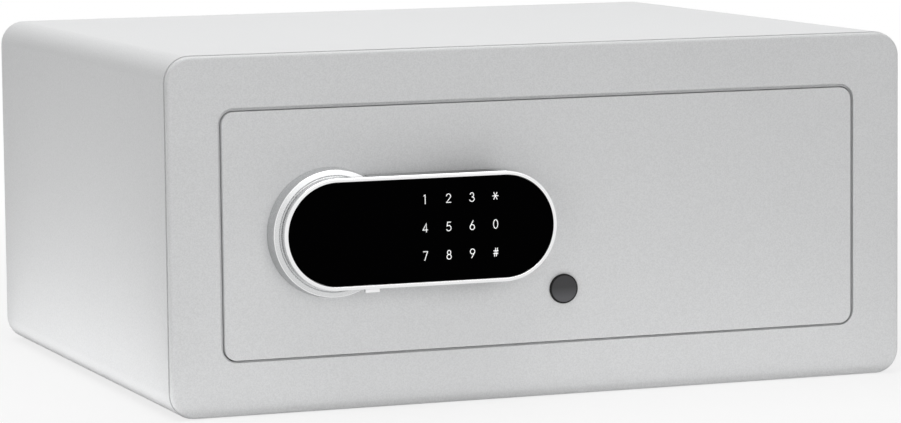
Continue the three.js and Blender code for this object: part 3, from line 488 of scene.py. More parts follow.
class SafeSizes(bpy.types.PropertyGroup):
    """Sizes of the front's corners, edges and gaps, and of the keypad."""

    frame_edge: length_of("Frame edge", "Rounding of the front frame's outer edge", 1.9 * MM)
    seam_step: length_of("Seam step", "Step from the wrap in to the front frame", 0.45 * MM)
    seam_width: length_of("Seam width", "Width of the seam behind the front frame", 0.35 * MM)
    door_edge: length_of("Door edge", "Rounding of the door plate's edge", 0.7 * MM)
    rebate_width: length_of("Rebate width", "Width of the step behind the door gap", 1.6 * MM)
    rebate_setback: length_of("Rebate depth", "Depth of the step's face behind the front", 2.6 * MM)
    opening_radius: length_of("Opening corner", "Corner radius of the door opening", 8.7 * MM)
    door_radius: length_of("Door corner", "Corner radius of the door plate", 6.8 * MM)
    body_radius: length_of("Body corner", "Corner radius of the body", 14 * MM)
    bezel_width: length_of("Rim width", "Width of the polished rim", 2.2 * MM)
    digit_height: length_of("Digit height", "Height of a printed digit", 4.9 * MM)
    digit_stroke: length_of("Digit stroke", "Width of a digit's stroke", 0.46 * MM)
    column_pitch: length_of("Column pitch", "Distance between columns of keys", 13.5 * MM)
    row_pitch: length_of("Row pitch", "Distance between rows of keys", 15.3 * MM)


class SafeStage(bpy.types.PropertyGroup):
    """Light and camera."""

    top_power: power_of("Top lamp", "Power of the soft lamp overhead", 20.0)
    front_power: power_of("Front lamp", "Power of the soft lamp in front", 17.0)
    card_power: power_of("Front card", "Power of the card that only polished pieces reflect", 3.6)
    left_power: power_of("Left lamp", "Power of the lamp at the left front", 0.68)
    left_glow_power: power_of("Left glow", "Power of the lit table beside the left side", 0.135)
    front_glow_power: power_of("Front glow", "Power of the lit table before the front", 0.07)
    room: number_of("Room light", "Even light from all round", 0.22)
    lens: number_of("Lens", "Focal length on a 36 mm sensor", 161.06, 1.0, unit="CAMERA")


# Painted light and shade, as (axis, start, length, factor, stops) in metres along X (0) or Z (2):
# painted shade darkens the lever's wall along its straight length, a painted highlight brightens
# the rose's wall at its top, and painted light brightens the cap at its foot
SHELL_PAINTED_SHADE = (0, -0.16, 0.16, 0.2, ((0.2, 0.0), (0.5, 0.5), (0.68, 1.0), (0.77, 1.0), (0.82, 0.0)))
WALL_PAINTED_HIGHLIGHT = (2, 0.062, 0.07, 1.28, ((0.3, 0.0), (0.75, 0.6), (1.0, 1.0)))
CAP_PAINTED_LIGHT = (2, CAP_LOW.z, CAP_HIGH.z - CAP_LOW.z, 3.2, ((0.2, 1.0), (0.55, 0.0)))

# What makes each finish of the colour that has its name, and what it takes after the colour
MAKERS = {
    "paint": (powder_coat,),
    "silver": (satin_silver, "satin_silver"),
    "shell": (satin_silver, "lever_shell", SHELL_PAINTED_SHADE),
    "rim_wall": (satin_silver, "rose_wall", WALL_PAINTED_HIGHLIGHT),
    "chrome": (polished_chrome,),
    "glass": (black_glass,),
    "ink": (white_print,),
    # The cap's plastic carries painted light that brightens it towards its foot
    "cap": (matt_plastic, "cap_plastic", 1200.0, 0.38, CAP_PAINTED_LIGHT),
    # The cap's rim: the cap's plastic darkened, painted shade where the cap meets the door
    "cap_rim": (matt_plastic, "cap_rim_plastic", 1200.0, 0.8),
    "steel": (rolled_steel,),
    "zinc": (zinc_plate,),
    "brass": (turned_brass,),
    "dark": (matt_plastic, "dark_plastic"),
    "board": (circuit_board,),
    "sleeve": (cell_sleeve,),
    "band": (gloss_plastic, "cell_band"),
    "felt": (needle_felt,),
    "red": (gloss_plastic, "button_red"),
}
made_finishes = {}


def finish_of(name):
    """A finish by its name, made once; the cap's rim is the cap's colour darkened, as painted shade."""
    if name not in made_finishes:
        colours, rim_painted_shade = bpy.context.scene.safe_colours, 0.05
        colour = shade(colours.cap, rim_painted_shade) if name == "cap_rim" else getattr(colours, name)
        maker, *others = MAKERS[name]
        made_finishes[name] = maker(colour, *others)
    return made_finishes[name]


def loop_of(half_width, half_height, radius, y, centre=(0.0, 0.0), steps=CORNER_STEPS):
    """A rounded rectangle at one depth, as points in order round it."""
    r = min(radius, half_width, half_height)
    points = []
    for side, rise, start in ((1, 1, 0), (-1, 1, 90), (-1, -1, 180), (1, -1, 270)):
        for i in range(steps + 1):
            angle = math.radians(start + 90 * i / steps)
            x = centre[0] + side * (half_width - r) + r * math.cos(angle)
            z = centre[1] + rise * (half_height - r) + r * math.sin(angle)
            points.append((x, y, z))
    return points


def circle(radius, y, centre, steps=ROUND_STEPS):
    """A circle at one depth, as points in order round it."""
    angles = (2 * math.pi * i / steps for i in range(steps))
    return [(centre[0] + radius * math.cos(a), y, centre[1] + radius * math.sin(a)) for a in angles]


def rounding(start, end, steps=EDGE_STEPS):
    """A quarter round as (inset, depth) pairs, from the side at start to the face at end.

    start and end are (inset, depth); the curve leaves start along depth and reaches end along inset.
    """
    pairs = []
    for i in range(steps + 1):
        angle = math.pi / 2 * i / steps
        inset = start[0] + (end[0] - start[0]) * (1 - math.cos(angle))
        depth = start[1] + (end[1] - start[1]) * math.sin(angle)
        pairs.append((inset, depth))
    return pairs


def skin(loops, closed=False):
    """A mesh over the loops in order: closed on itself, or with a face at each end."""
    mesh = bmesh.new()
    rows = [[mesh.verts.new(point) for point in loop] for loop in loops]
    pairs = list(zip(rows, rows[1:])) + ([(rows[-1], rows[0])] if closed else [])
    count = len(rows[0])
    for near, far in pairs:
        for k in range(count):
            after = (k + 1) % count
            mesh.faces.new((near[k], near[after], far[after], far[k]))
    if not closed:
        mesh.faces.new(rows[0])
        mesh.faces.new(rows[-1])
    return mesh


def reach(point, centre=(0.0, 0.0)):
    """How far a point is from a line along Y."""
    return math.hypot(point.x - centre[0], point.z - centre[1])


def turned(profile, centre, steps=ROUND_STEPS):
    """A turned mesh about a line along Y, from (radius, depth) pairs.

    The profile is closed, or runs from the axis to the axis.
    """
    closed = profile[0] == profile[-1]
    pairs = profile[:-1] if closed else profile
    mesh = skin([circle(radius, y, centre, steps) for radius, y in pairs], closed=True)
    if not closed:
        on_axis = [face for face in mesh.faces if all(reach(v.co, centre) < SAME_PLACE for v in face.verts)]
        bmesh.ops.delete(mesh, geom=on_axis, context="FACES")
    return mesh


def placed(name, data):
    """A new object in the scene."""
    thing = bpy.data.objects.new(name, data)
    bpy.context.scene.collection.objects.link(thing)
    return thing


def node_body(node):
    """The body that a CAD node rides on."""
    return frame["nodes"][node]["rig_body"]


def add_piece(name, mesh, finish, body=None, nodes=(), edge=0.0, more_finishes=()):
    """Links a mesh as a piece: shading, finish, body and the CAD nodes that it stands for."""
    bmesh.ops.remove_doubles(mesh, verts=mesh.verts, dist=WELD)
    bmesh.ops.recalc_face_normals(mesh, faces=mesh.faces)
    for face in mesh.faces:
        face.smooth = True
    for line in mesh.edges:
        line.smooth = len(line.link_faces) != 2 or line.calc_face_angle(0.0) < SHARP
    data = bpy.data.meshes.new(name)
    mesh.to_mesh(data)
    mesh.free()
    piece = placed(name, data)
    for one in (finish, *more_finishes):
        data.materials.append(finish_of(one))
    dress(piece, edge)
    if nodes:
        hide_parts(*nodes)
    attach(piece, body or node_body(nodes[0]))
    return piece


def dress(piece, edge):
    """Breaks the sharp edges by a small radius and keeps the flat faces flat."""
    if edge:
        bevel = piece.modifiers.new("broken_edge", "BEVEL")
        bevel.width = edge
        bevel.segments = 3
        bevel.limit_method = "ANGLE"
        bevel.angle_limit = SHARP
        bevel.use_clamp_overlap = True
    flat = piece.modifiers.new("flat_faces", "WEIGHTED_NORMAL")
    flat.keep_sharp = not edge
    flat.weight = 80


def node_mesh(node):
    """A CAD node's mesh with its split corners joined and its flat faces whole."""
    mesh = bmesh.new()
    mesh.from_mesh(frame["nodes"][node].data)
    bmesh.ops.remove_doubles(mesh, verts=mesh.verts, dist=SAME_PLACE)
    bmesh.ops.dissolve_limit(
        mesh, angle_limit=FLAT, verts=mesh.verts, edges=mesh.edges, delimit=set()
    )
    return mesh


def refine(finish, edge, *nodes):
    """Adds CAD nodes with their finish on and their edges broken by so many millimetres."""
    for node in nodes:
        add_piece(f"{node}_finished", node_mesh(node), finish, nodes=(node,), edge=edge * MM)


def block(low, high):
    """A box mesh between two corners."""
    mesh = bmesh.new()
    bmesh.ops.create_cube(mesh, size=1.0)
    size = Vector(high) - Vector(low)
    middle = (Vector(high) + Vector(low)) / 2
    matrix = Matrix.Translation(middle) @ Matrix.Diagonal((*size, 1))
    bmesh.ops.transform(mesh, matrix=matrix, verts=mesh.verts)
    return mesh


def joined(*meshes):
    """Several meshes as one."""
    whole = bmesh.new()
    for mesh in meshes:
        data = bpy.data.meshes.new("part")
        mesh.to_mesh(data)
        mesh.free()
        whole.from_mesh(data)
        bpy.data.meshes.remove(data)
    return whole


def carved(mesh, cutter):
    """A mesh with another one cut out of it."""
    base_data, tool_data = bpy.data.meshes.new("base"), bpy.data.meshes.new("tool")
    for source, data in ((mesh, base_data), (cutter, tool_data)):
        bmesh.ops.recalc_face_normals(source, faces=source.faces)
        source.to_mesh(data)
        source.free()
    base, tool = placed("base", base_data), placed("tool", tool_data)
    cut = base.modifiers.new("cut", "BOOLEAN")
    cut.operation = "DIFFERENCE"
    cut.solver = "EXACT"
    cut.object = tool
    bpy.context.view_layer.update()
    result = bpy.data.meshes.new_from_object(base.evaluated_get(bpy.context.evaluated_depsgraph_get()))
    out = bmesh.new()
    out.from_mesh(result)
    for thing in (base, tool):
        bpy.data.objects.remove(thing)
    for data in (base_data, tool_data, result):
        bpy.data.meshes.remove(data)
    return out


class PieceOperator(bpy.types.Operator):
    """Shared by the operators below: their options, and the sizes that they take."""

    bl_options = {"REGISTER", "UNDO"}

    @property
    def sizes(self):
        return bpy.context.scene.safe_sizes


class SAFE_OT_body(PieceOperator):
    """Add the body's sheet pieces, the floor mat, the door stops and the hinge brackets"""

    bl_idname = "safe.body"
    bl_label = "Body"

    def execute(self, context):
        refine("paint", 0.12, "body_wrap")
        refine("paint", 0.2, "base_plate")
        refine("paint", 0.35, "back_panel")
        refine("paint", 0.2, "frame_lip")
        refine("felt", 0.6, "floor_mat")
        refine("steel", 0.3, "door_stop_upper", "door_stop_lower")
        refine("steel", 0.3, "hinge_bracket_top", "hinge_bracket_bottom")
        return {"FINISHED"}


class SAFE_OT_front_frame(PieceOperator):
    """Add the front frame, a plate with a rounded outer edge round the door opening"""

    bl_idname = "safe.front_frame"
    bl_label = "Front frame"

    def execute(self, context):
        sizes = self.sizes
        middle, half = middle_of("front_frame"), half_of("front_frame")
        border, back = 28.5 * MM, depths_of("front_frame")[1]
        hinge_step, hinge_rise = 0.25 * MM, 0.35 * MM
        lower_step, lower_rise = 0.5 * MM, 0.85 * MM

        def outer(inset, y):
            return loop_of(half[0] - inset, half[1] - inset, sizes.body_radius - inset, y, middle)

        def inner(outset, y, step=0.0):
            """The opening at one depth, smaller by its rises on the hinge side and below.

            A step stands in behind the gap, and is narrower on those two sides.
            """
            hinge = hinge_rise + min(step, hinge_step)
            lower = lower_rise + min(step, lower_step)
            width = half[0] - border + outset - (step + hinge) / 2
            height = half[1] - border + outset - (step + lower) / 2
            centre = (middle[0] + (step - hinge) / 2, middle[1] - (step - lower) / 2)
            return loop_of(width, height, sizes.opening_radius + outset - step, y, centre)

        seam, edge, seam_depth = sizes.seam_step, sizes.frame_edge, 1.2 * MM
        seam_floor, seam_front = seam + seam_depth, back - sizes.seam_width
        loops = [outer(seam_floor, back), outer(seam_floor, seam_front), outer(seam, seam_front)]
        loops += [outer(*pair) for pair in rounding((seam, FRONT + edge), (seam + edge, FRONT))]
        opening_edge = 0.6 * MM
        side_to_front = rounding((0.0, FRONT + opening_edge), (opening_edge, FRONT), FINE_EDGE_STEPS)
        loops += [inner(*pair) for pair in reversed(side_to_front)]
        face, ledge, ledge_edge = FRONT + sizes.rebate_setback, sizes.rebate_width, 0.15 * MM
        loops += [inner(0.0, face), inner(0.0, face, ledge - ledge_edge)]
        loops += [inner(0.0, face + ledge_edge, ledge), inner(0.0, back, ledge)]
        add_piece("front_frame_plate", skin(loops, closed=True), "paint", nodes=("front_frame",))
        return {"FINISHED"}


class SAFE_OT_door(PieceOperator):
    """Add the door plate, its folded return, the mechanism cover and the cover's screws"""

    bl_idname = "safe.door"
    bl_label = "Door"

    def execute(self, context):
        sizes = self.sizes
        middle, half = middle_of("door_plate"), half_of("door_plate")
        back = depths_of("door_plate")[1]

        def outline(inset, y):
            return loop_of(half[0] - inset, half[1] - inset, sizes.door_radius - inset, y, middle)

        edge, back_edge = sizes.door_edge, 0.3 * MM
        loops = [outline(back_edge, back), outline(0.0, back - back_edge)]
        loops += [outline(*pair) for pair in rounding((0.0, FRONT + edge), (edge, FRONT))]
        plate = skin(loops)
        hub_hole, screw_hole, clearance = 8.3 * MM, 2.3 * MM, 0.3 * MM
        holes = [(half_of("key_housing")[0] + clearance, CAP), (hub_hole, HUB)]
        holes += [(screw_hole, middle_of(node)) for node in ("rose_screw_1", "rose_screw_2")]
        ends = (FRONT - 2 * MM, back + 2 * MM)
        for radius, place in holes:
            plate = carved(plate, skin([circle(radius, y, place, HOLE_STEPS) for y in ends]))
        add_piece("door_face", plate, "paint", nodes=("door_plate",))
        refine("paint", 0.35, "door_return")
        refine("paint", 0.25, "mechanism_cover")
        for index in range(1, 7):
            self.cover_screw(index)
        return {"FINISHED"}

    def cover_screw(self, index):
        """A pan-head screw with a cross recess, each turned home by a different angle."""
        node = f"cover_screw_{index}"
        place, (end, top) = middle_of(node), depths_of(node)
        radius, shank, edge, head_height = half_of(node)[0], 1.5 * MM, 0.1 * MM, 1.8 * MM
        seat = top - head_height
        profile = [(0.0, end), (shank, end), (shank, seat), (radius - edge, seat), (radius, seat + edge)]
        dome_steps, fullness = 8, 0.7
        for i in range(1, dome_steps):
            angle = math.pi / 2 * i / dome_steps
            rise = (top - seat - edge) * math.sin(angle)
            profile.append((radius * math.cos(angle) ** fullness, seat + edge + rise))
        profile.append((0.0, top))
        head = turned(profile, place, SCREW_STEPS)
        first_turn, turn_between = 17, 53
        turn = math.radians(first_turn + turn_between * index)
        arm, half_width, depth = radius * 0.55, 0.32 * MM, 1.0 * MM
        for extra in (0, math.pi / 2):
            slot = block((-arm, top - depth, -half_width), (arm, top + depth, half_width))
            spin = Matrix.Translation((place[0], 0, place[1])) @ Matrix.Rotation(turn + extra, 4, "Y")
            bmesh.ops.transform(slot, matrix=spin, verts=slot.verts)
            head = carved(head, slot)
        add_piece(f"{node}_crosshead", head, "zinc", nodes=(node,))


class SAFE_OT_hinges(PieceOperator):
    """Add the hinge blocks and the hinge pins"""

    bl_idname = "safe.hinges"
    bl_label = "Hinges"

    def execute(self, context):
        for end in ("top", "bottom"):
            refine("steel", 0.3, f"hinge_block_{end}")
            refine("zinc", 0.4, f"hinge_pin_{end}")
        return {"FINISHED"}


class SAFE_OT_rose(PieceOperator):
    """Add the rose: the stepped round base that the lever turns on"""

    bl_idname = "safe.rose"
    bl_label = "Rose"

    def execute(self, context):
        radius, taper, foot = half_of("lever_rose")[0], 0.9 * MM, 0.2 * MM
        rim, edge, slope = radius - taper, 0.4 * MM, 0.5 * MM
        plateau, drop = depths_of("lever_rose")[0], 0.35 * MM
        step = plateau + drop
        profile = [(radius - foot, FRONT), (radius, FRONT - foot)]
        outer_edge = rounding((0.0, step + slope + edge), (edge, step + slope))
        profile += [(rim - inset, y) for inset, y in outer_edge]
        groove_out, groove_in, groove_depth = 31.4 * MM, 31.0 * MM, 0.35 * MM
        lip, lip_depth, foot_of_step = 0.2 * MM, 0.15 * MM, 0.05 * MM
        profile += [(groove_out + lip, step), (groove_out, step + lip_depth)]
        profile += [((groove_out + groove_in) / 2, step + groove_depth), (groove_in + foot_of_step, step)]
        round_off = 0.25 * MM
        inner_edge = rounding((0.0, plateau + round_off), (round_off, plateau), FINE_EDGE_STEPS)
        profile += [(groove_in - inset, y) for inset, y in inner_edge]
        recess, recess_edge, floor, bore = 15.5 * MM, 0.3 * MM, FRONT - 4.0 * MM, 8.0 * MM
        profile += [(recess + recess_edge, plateau), (recess, plateau + recess_edge)]
        profile += [(recess, floor), (bore, floor)]
        profile = [(bore, FRONT), *profile, (bore, FRONT)]
        mesh = turned(profile, HUB)
        # The outer wall takes the rose-wall finish with its painted shade and painted highlight; the
        # rounded front edge is polished
        for face in mesh.faces:
            middle = face.calc_center_median()
            if reach(middle, HUB) > rim - edge:
                face.material_index = 1 if middle.y > outer_edge[0][1] else 2
        finishes = ("rim_wall", "chrome")
        add_piece("rose_turned", mesh, "silver", nodes=("lever_rose",), more_finishes=finishes)
        refine("zinc", 0.2, "rose_screw_1", "rose_screw_2")
        refine("brass", 0.2, "spindle_bush")
        return {"FINISHED"}


class SAFE_OT_lever(PieceOperator):
    """Add the lever: its body, the polished rim, the glass, the socket and what it turns"""

    bl_idname = "safe.lever"
    bl_label = "Lever"

    def execute(self, context):
        # The lever body's walls carry painted shade: a darker plating, darker still along the straight
        # walls
        refine("shell", 0.15, "lever_body")
        middle, half = middle_of("lever_bezel"), half_of("lever_bezel")

        def oval(inset, y):
            return loop_of(half[0] - inset, half[1] - inset, half[1] - inset, y, middle, OVAL_STEPS)

        front, back = depths_of("lever_bezel")
        width, edge, back_edge = self.sizes.bezel_width, 0.8 * MM, 0.15 * MM
        loops = [oval(back_edge, back), oval(0.0, back - back_edge)]
        loops += [oval(*pair) for pair in rounding((0.0, front + edge), (edge, front))]
        wall_to_front = rounding((width, front + edge / 2), (width - edge / 2, front), RIM_EDGE_STEPS)
        loops += [oval(*pair) for pair in reversed(wall_to_front)]
        loops += [oval(width, back)]
        add_piece("lever_rim", skin(loops, closed=True), "chrome", nodes=("lever_bezel",))
        self.glass(oval, width)
        refine("board", 0.2, "keypad_board")
        refine("steel", 0.2, "spindle", "crank")
        refine("zinc", 0.2, "spindle_clip")
        self.socket()
        return {"FINISHED"}

    def glass(self, oval, width):
        """The glass, let in inside the rim with a fine gap round it."""
        gap, edge = 0.3 * MM, 0.3 * MM
        loops = [oval(width + gap, GLASS_BACK)]
        wall_to_front = rounding((0.0, GLASS_FRONT + edge), (edge, GLASS_FRONT), RIM_EDGE_STEPS)
        loops += [oval(width + gap + inset, y) for inset, y in wall_to_front]
        add_piece("touch_glass", skin(loops), "glass", nodes=("glass_panel",))

    def socket(self):
        """The small shell of the power socket with its contact tongue."""
        refine("chrome", 0.12, "power_socket")
        low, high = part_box("power_socket")
        middle_y = (low.y + high.y) / 2
        side, half_thick, below, above = 1.4 * MM, 0.25 * MM, 0.5 * MM, 0.6 * MM
        tongue_low = (low.x + side, middle_y - half_thick, low.z + below)
        tongue_high = (high.x - side, middle_y + half_thick, high.z - above)
        tongue = block(tongue_low, tongue_high)
        add_piece("socket_tongue", tongue, "dark", body="lever", edge=0.08 * MM)


def arc(centre, radii, first, last, steps=20):
    """Points of an oval arc from the first angle to the last, in degrees."""
    points = []
    for i in range(steps + 1):
        angle = math.radians(first + (last - first) * i / steps)
        points.append((centre[0] + radii[0] * math.cos(angle), centre[1] + radii[1] * math.sin(angle)))
    return points


def ring(centre, radii):
    """Points of a whole oval."""
    return arc(centre, radii, 90, 450, 40)


def spoke(turn, half_width=0.33, half_height=0.46):
    """A stroke through the middle of the field, at an angle from upright."""
    across, up = half_width * math.sin(math.radians(turn)), half_height * math.cos(math.radians(turn))
    return [(across, 0.5 + up), (-across, 0.5 - up)]


# Strokes of the digits and marks, on a field one unit high with its foot at 0
GLYPHS = {
    "digit_1": [[(-0.13, 0.86), (0.03, 0.965), (0.03, 0.0)]],
    "digit_2": [arc((0.0, 0.71), (0.245, 0.26), 172, -38) + [(-0.24, 0.03), (0.27, 0.03)]],
    "digit_3": [arc((-0.01, 0.735), (0.2, 0.235), 165, -90) + arc((-0.01, 0.255), (0.27, 0.245), 90, -165)],
    "digit_4": [[(0.13, 0.0), (0.13, 0.93), (-0.27, 0.24), (0.28, 0.24)]],
    "digit_5": [[(0.22, 0.97), (-0.14, 0.97), (-0.21, 0.54)] + arc((-0.01, 0.31), (0.27, 0.3), 118, -152)],
    "digit_6": [ring((0.0, 0.285), (0.26, 0.275)), [(0.1, 0.99), (-0.215, 0.44)]],
    "digit_7": [[(-0.25, 0.97), (0.24, 0.97), (-0.1, 0.0)]],
    "digit_8": [ring((0.0, 0.745), (0.195, 0.225)), ring((0.0, 0.265), (0.25, 0.255))],
    "digit_9": [ring((0.0, 0.715), (0.26, 0.275)), [(-0.1, 0.01), (0.215, 0.56)]],
    "digit_0": [ring((0.0, 0.5), (0.25, 0.48))],
    "mark_star": [spoke(36), spoke(-36), spoke(90)],
    "mark_hash": [
        [(-0.02, 0.95), (-0.17, 0.05)], [(0.19, 0.95), (0.04, 0.05)],
        [(-0.26, 0.65), (0.28, 0.65)], [(-0.3, 0.35), (0.24, 0.35)],
    ],
}
KEY_ROWS = (
    ("digit_1", "digit_2", "digit_3", "mark_star"),
    ("digit_4", "digit_5", "digit_6", "digit_0"),
    ("digit_7", "digit_8", "digit_9", "mark_hash"),
)


def ribbon(points, width, low_y, high_y):
    """A flat stroke along points in the X-Z plane, with square ends and mitred turns."""
    overshoot, sharpest = 0.35, 0.5
    closed = (Vector(points[0]) - Vector(points[-1])).length < NO_LENGTH
    line = [Vector(p) for p in (points[:-1] if closed else points)]
    count = len(line)
    edges = []
    for i, place in enumerate(line):
        before = line[i - 1] if i or closed else None
        after = line[(i + 1) % count] if i + 1 < count or closed else None
        ahead = (after - place).normalized() if after is not None else (place - before).normalized()
        behind = (place - before).normalized() if before is not None else ahead
        across = Vector((-(ahead + behind).y, (ahead + behind).x)).normalized()
        aside = width / 2 / max(sharpest, across.dot(Vector((-ahead.y, ahead.x))))
        if before is None:
            place = place - ahead * width * overshoot
        if after is None:
            place = place + ahead * width * overshoot
        edges.append((place + across * aside, place - across * aside))
    rows = []
    for left, right in edges:
        corners = ((left, low_y), (right, low_y), (right, high_y), (left, high_y))
        rows.append([(p.x, y, p.y) for p, y in corners])
    return skin(rows, closed)


class SAFE_OT_digits(PieceOperator):
    """Add the keypad's printed digits and marks on the glass"""

    bl_idname = "safe.digits"
    bl_label = "Digits"

    def execute(self, context):
        sizes = self.sizes
        first_x, middle_z = -75.95 * MM, 98.5 * MM
        sunk, proud = 0.02 * MM, 0.03 * MM
        back, front = GLASS_FRONT + sunk, GLASS_FRONT - proud
        high = sizes.digit_height
        for row, names in enumerate(KEY_ROWS):
            for column, name in enumerate(names):
                x = first_x + column * sizes.column_pitch
                z = middle_z + (1 - row) * sizes.row_pitch - high / 2
                strokes = []
                for stroke in GLYPHS[name]:
                    line = [(x + px * high, z + pz * high) for px, pz in stroke]
                    strokes.append(ribbon(line, sizes.digit_stroke, front, back))
                add_piece(name, joined(*strokes), "ink", body="lever")
        return {"FINISHED"}


class SAFE_OT_key_lock(PieceOperator):
    """Add the emergency key lock and the round cap over it"""

    bl_idname = "safe.key_lock"
    bl_label = "Key lock"

    def execute(self, context):
        radius, front, back = half_of("key_cap")[0], CAP_LOW.y, CAP_HIGH.y
        stem, stem_edge, foot = 6.7 * MM, 0.3 * MM, 0.15 * MM
        profile = [(0.0, back), (stem - stem_edge, back), (stem, back - stem_edge), (stem, FRONT)]
        profile += [(radius - foot, FRONT), (radius, FRONT - foot)]
        edge_depth, edge_width, crown = 0.7 * MM, 0.9 * MM, 0.08 * MM
        edge = rounding((0.0, front + edge_depth), (edge_width, front + crown), CAP_EDGE_STEPS)
        profile += [(radius - inset, y) for inset, y in edge]
        crown_share = 0.88
        for i in range(CAP_EDGE_STEPS + 1):
            out = 1 - i / CAP_EDGE_STEPS
            profile.append((radius * out * crown_share, front + crown * out ** 2))
        mesh = turned(profile, CAP)
        # The outer 0.8 mm of the cap takes the darkened rim finish, painted shade where the cap meets the
        # door
        rim = 0.8 * MM
        for face in mesh.faces:
            face.material_index = int(reach(face.calc_center_median(), CAP) > radius - rim)
        add_piece("cap_turned", mesh, "cap", nodes=("key_cap",), more_finishes=("cap_rim",))
        refine("zinc", 0.3, "key_housing", "key_nut")
        refine("brass", 0.2, "key_plug")
        refine("steel", 0.2, "key_cam")
        return {"FINISHED"}


class SAFE_OT_bolts(PieceOperator):
    """Add the bolts, their carriage, guide, pins and screws"""

    bl_idname = "safe.bolts"
    bl_label = "Bolts"

    def execute(self, context):
        refine("steel", 0.25, "bolt_carriage", "bolt_guide")
        for end in ("lower", "upper"):
            self.bolt(end)
            refine("zinc", 0.3, f"bolt_screw_{end}")
            refine("zinc", 0.2, f"guide_pin_{end}")
        return {"FINISHED"}

    def bolt(self, end):
        """A turned bolt with a chamfered tip and a screw hole in its back end."""
        node = f"bolt_{end}"
        low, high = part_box(node)
        y, z = (low.y + high.y) / 2, (low.z + high.z) / 2
        radius, chamfer = (high.z - low.z) / 2, 1.2 * MM
        back = high.x - low.x
        hole, hole_end = 2.8 * MM, high.x - 8.3 * MM - low.x
        soft, end_edge, shoulder = 0.12 * MM, 0.4 * MM, 0.3 * MM
        profile = [(0.0, 0.0), (radius - chamfer - end_edge, 0.0)]
        profile += [(radius - chamfer, soft), (radius - soft, chamfer), (radius, chamfer + shoulder)]
        profile += [(radius, back - end_edge), (radius - end_edge, back)]
        profile += [(hole, back), (hole, hole_end), (0.0, hole_end)]
        mesh = turned(profile, (0.0, 0.0), BOLT_STEPS)
        to_x = Matrix.Translation((low.x, y, z)) @ Matrix.Rotation(-math.pi / 2, 4, "Z")
        bmesh.ops.transform(mesh, matrix=to_x, verts=mesh.verts)
        add_piece(f"{node}_turned", mesh, "zinc", nodes=(node,))


class SAFE_OT_electronics(PieceOperator):
    """Add the control board, the solenoid with its plunger and spring, and the reset button"""

    bl_idname = "safe.electronics"
    bl_label = "Electronics"

    def execute(self, context):
        refine("board", 0.1, "control_board")
        refine("dark", 0.4, "solenoid")
        refine("steel", 0.2, "solenoid_bracket")
        refine("zinc", 0.3, "plunger")
        refine("steel", 0.0, "plunger_spring")
        refine("red", 0.15, "reset_button")
        return {"FINISHED"}


class SAFE_OT_batteries(PieceOperator):
    """Add the battery case, the cells and the sliding cover"""

    bl_idname = "safe.batteries"
    bl_label = "Batteries"

    def execute(self, context):
        refine("dark", 0.3, "battery_case", "battery_cover")
        for index in range(1, 5):
            self.cell(index)
        return {"FINISHED"}

    def cell(self, index):
        """A cell with metal ends and a two-tone sleeve; its neighbours lie the other way up."""
        node = f"cell_{index}"
        low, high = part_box(node)
        x, y = (low.x + high.x) / 2, (low.y + high.y) / 2
        radius, length = (high.x - low.x) / 2, high.z - low.z
        up = 1 if index % 2 else -1
        flat = low.z if up > 0 else high.z
        nub, nub_radius, band, seam = 1.2 * MM, 2.7 * MM, 9 * MM, 0.01 * MM
        can = length - nub
        band_start = can - band
        # Each end of the can in mm, as inset from its side and height from its end
        flat_end = ((1.2, 0.0), (1.0, 0.15), (0.5, 0.15), (0.0, 0.6))
        nub_end = ((0.0, -0.7), (0.5, -0.1), (0.9, -0.1), (1.1, -0.3))
        profile = [(0.0, 0.0)]
        profile += [(radius - inset * MM, height * MM) for inset, height in flat_end]
        profile += [(radius, band_start), (radius, band_start + seam)]
        profile += [(radius - inset * MM, can + height * MM) for inset, height in nub_end]
        profile += [(nub_radius + 0.7 * MM, can - 0.3 * MM), (nub_radius, can)]
        profile += [(nub_radius, length - 0.2 * MM), (nub_radius - 0.2 * MM, length), (0.0, length)]
        mesh = turned(profile, (0.0, 0.0), CELL_STEPS)
        metal_inset = 0.95 * MM
        for face in mesh.faces:
            middle = face.calc_center_median()
            if reach(middle) < radius - metal_inset:
                face.material_index = 2
            elif middle.y > band_start:
                face.material_index = 1
        turn = Matrix.Rotation(math.pi / 2 * up, 4, "X")
        bmesh.ops.transform(mesh, matrix=Matrix.Translation((x, y, flat)) @ turn, verts=mesh.verts)
        add_piece(f"{node}_sleeved", mesh, "sleeve", nodes=(node,), more_finishes=("band", "zinc"))


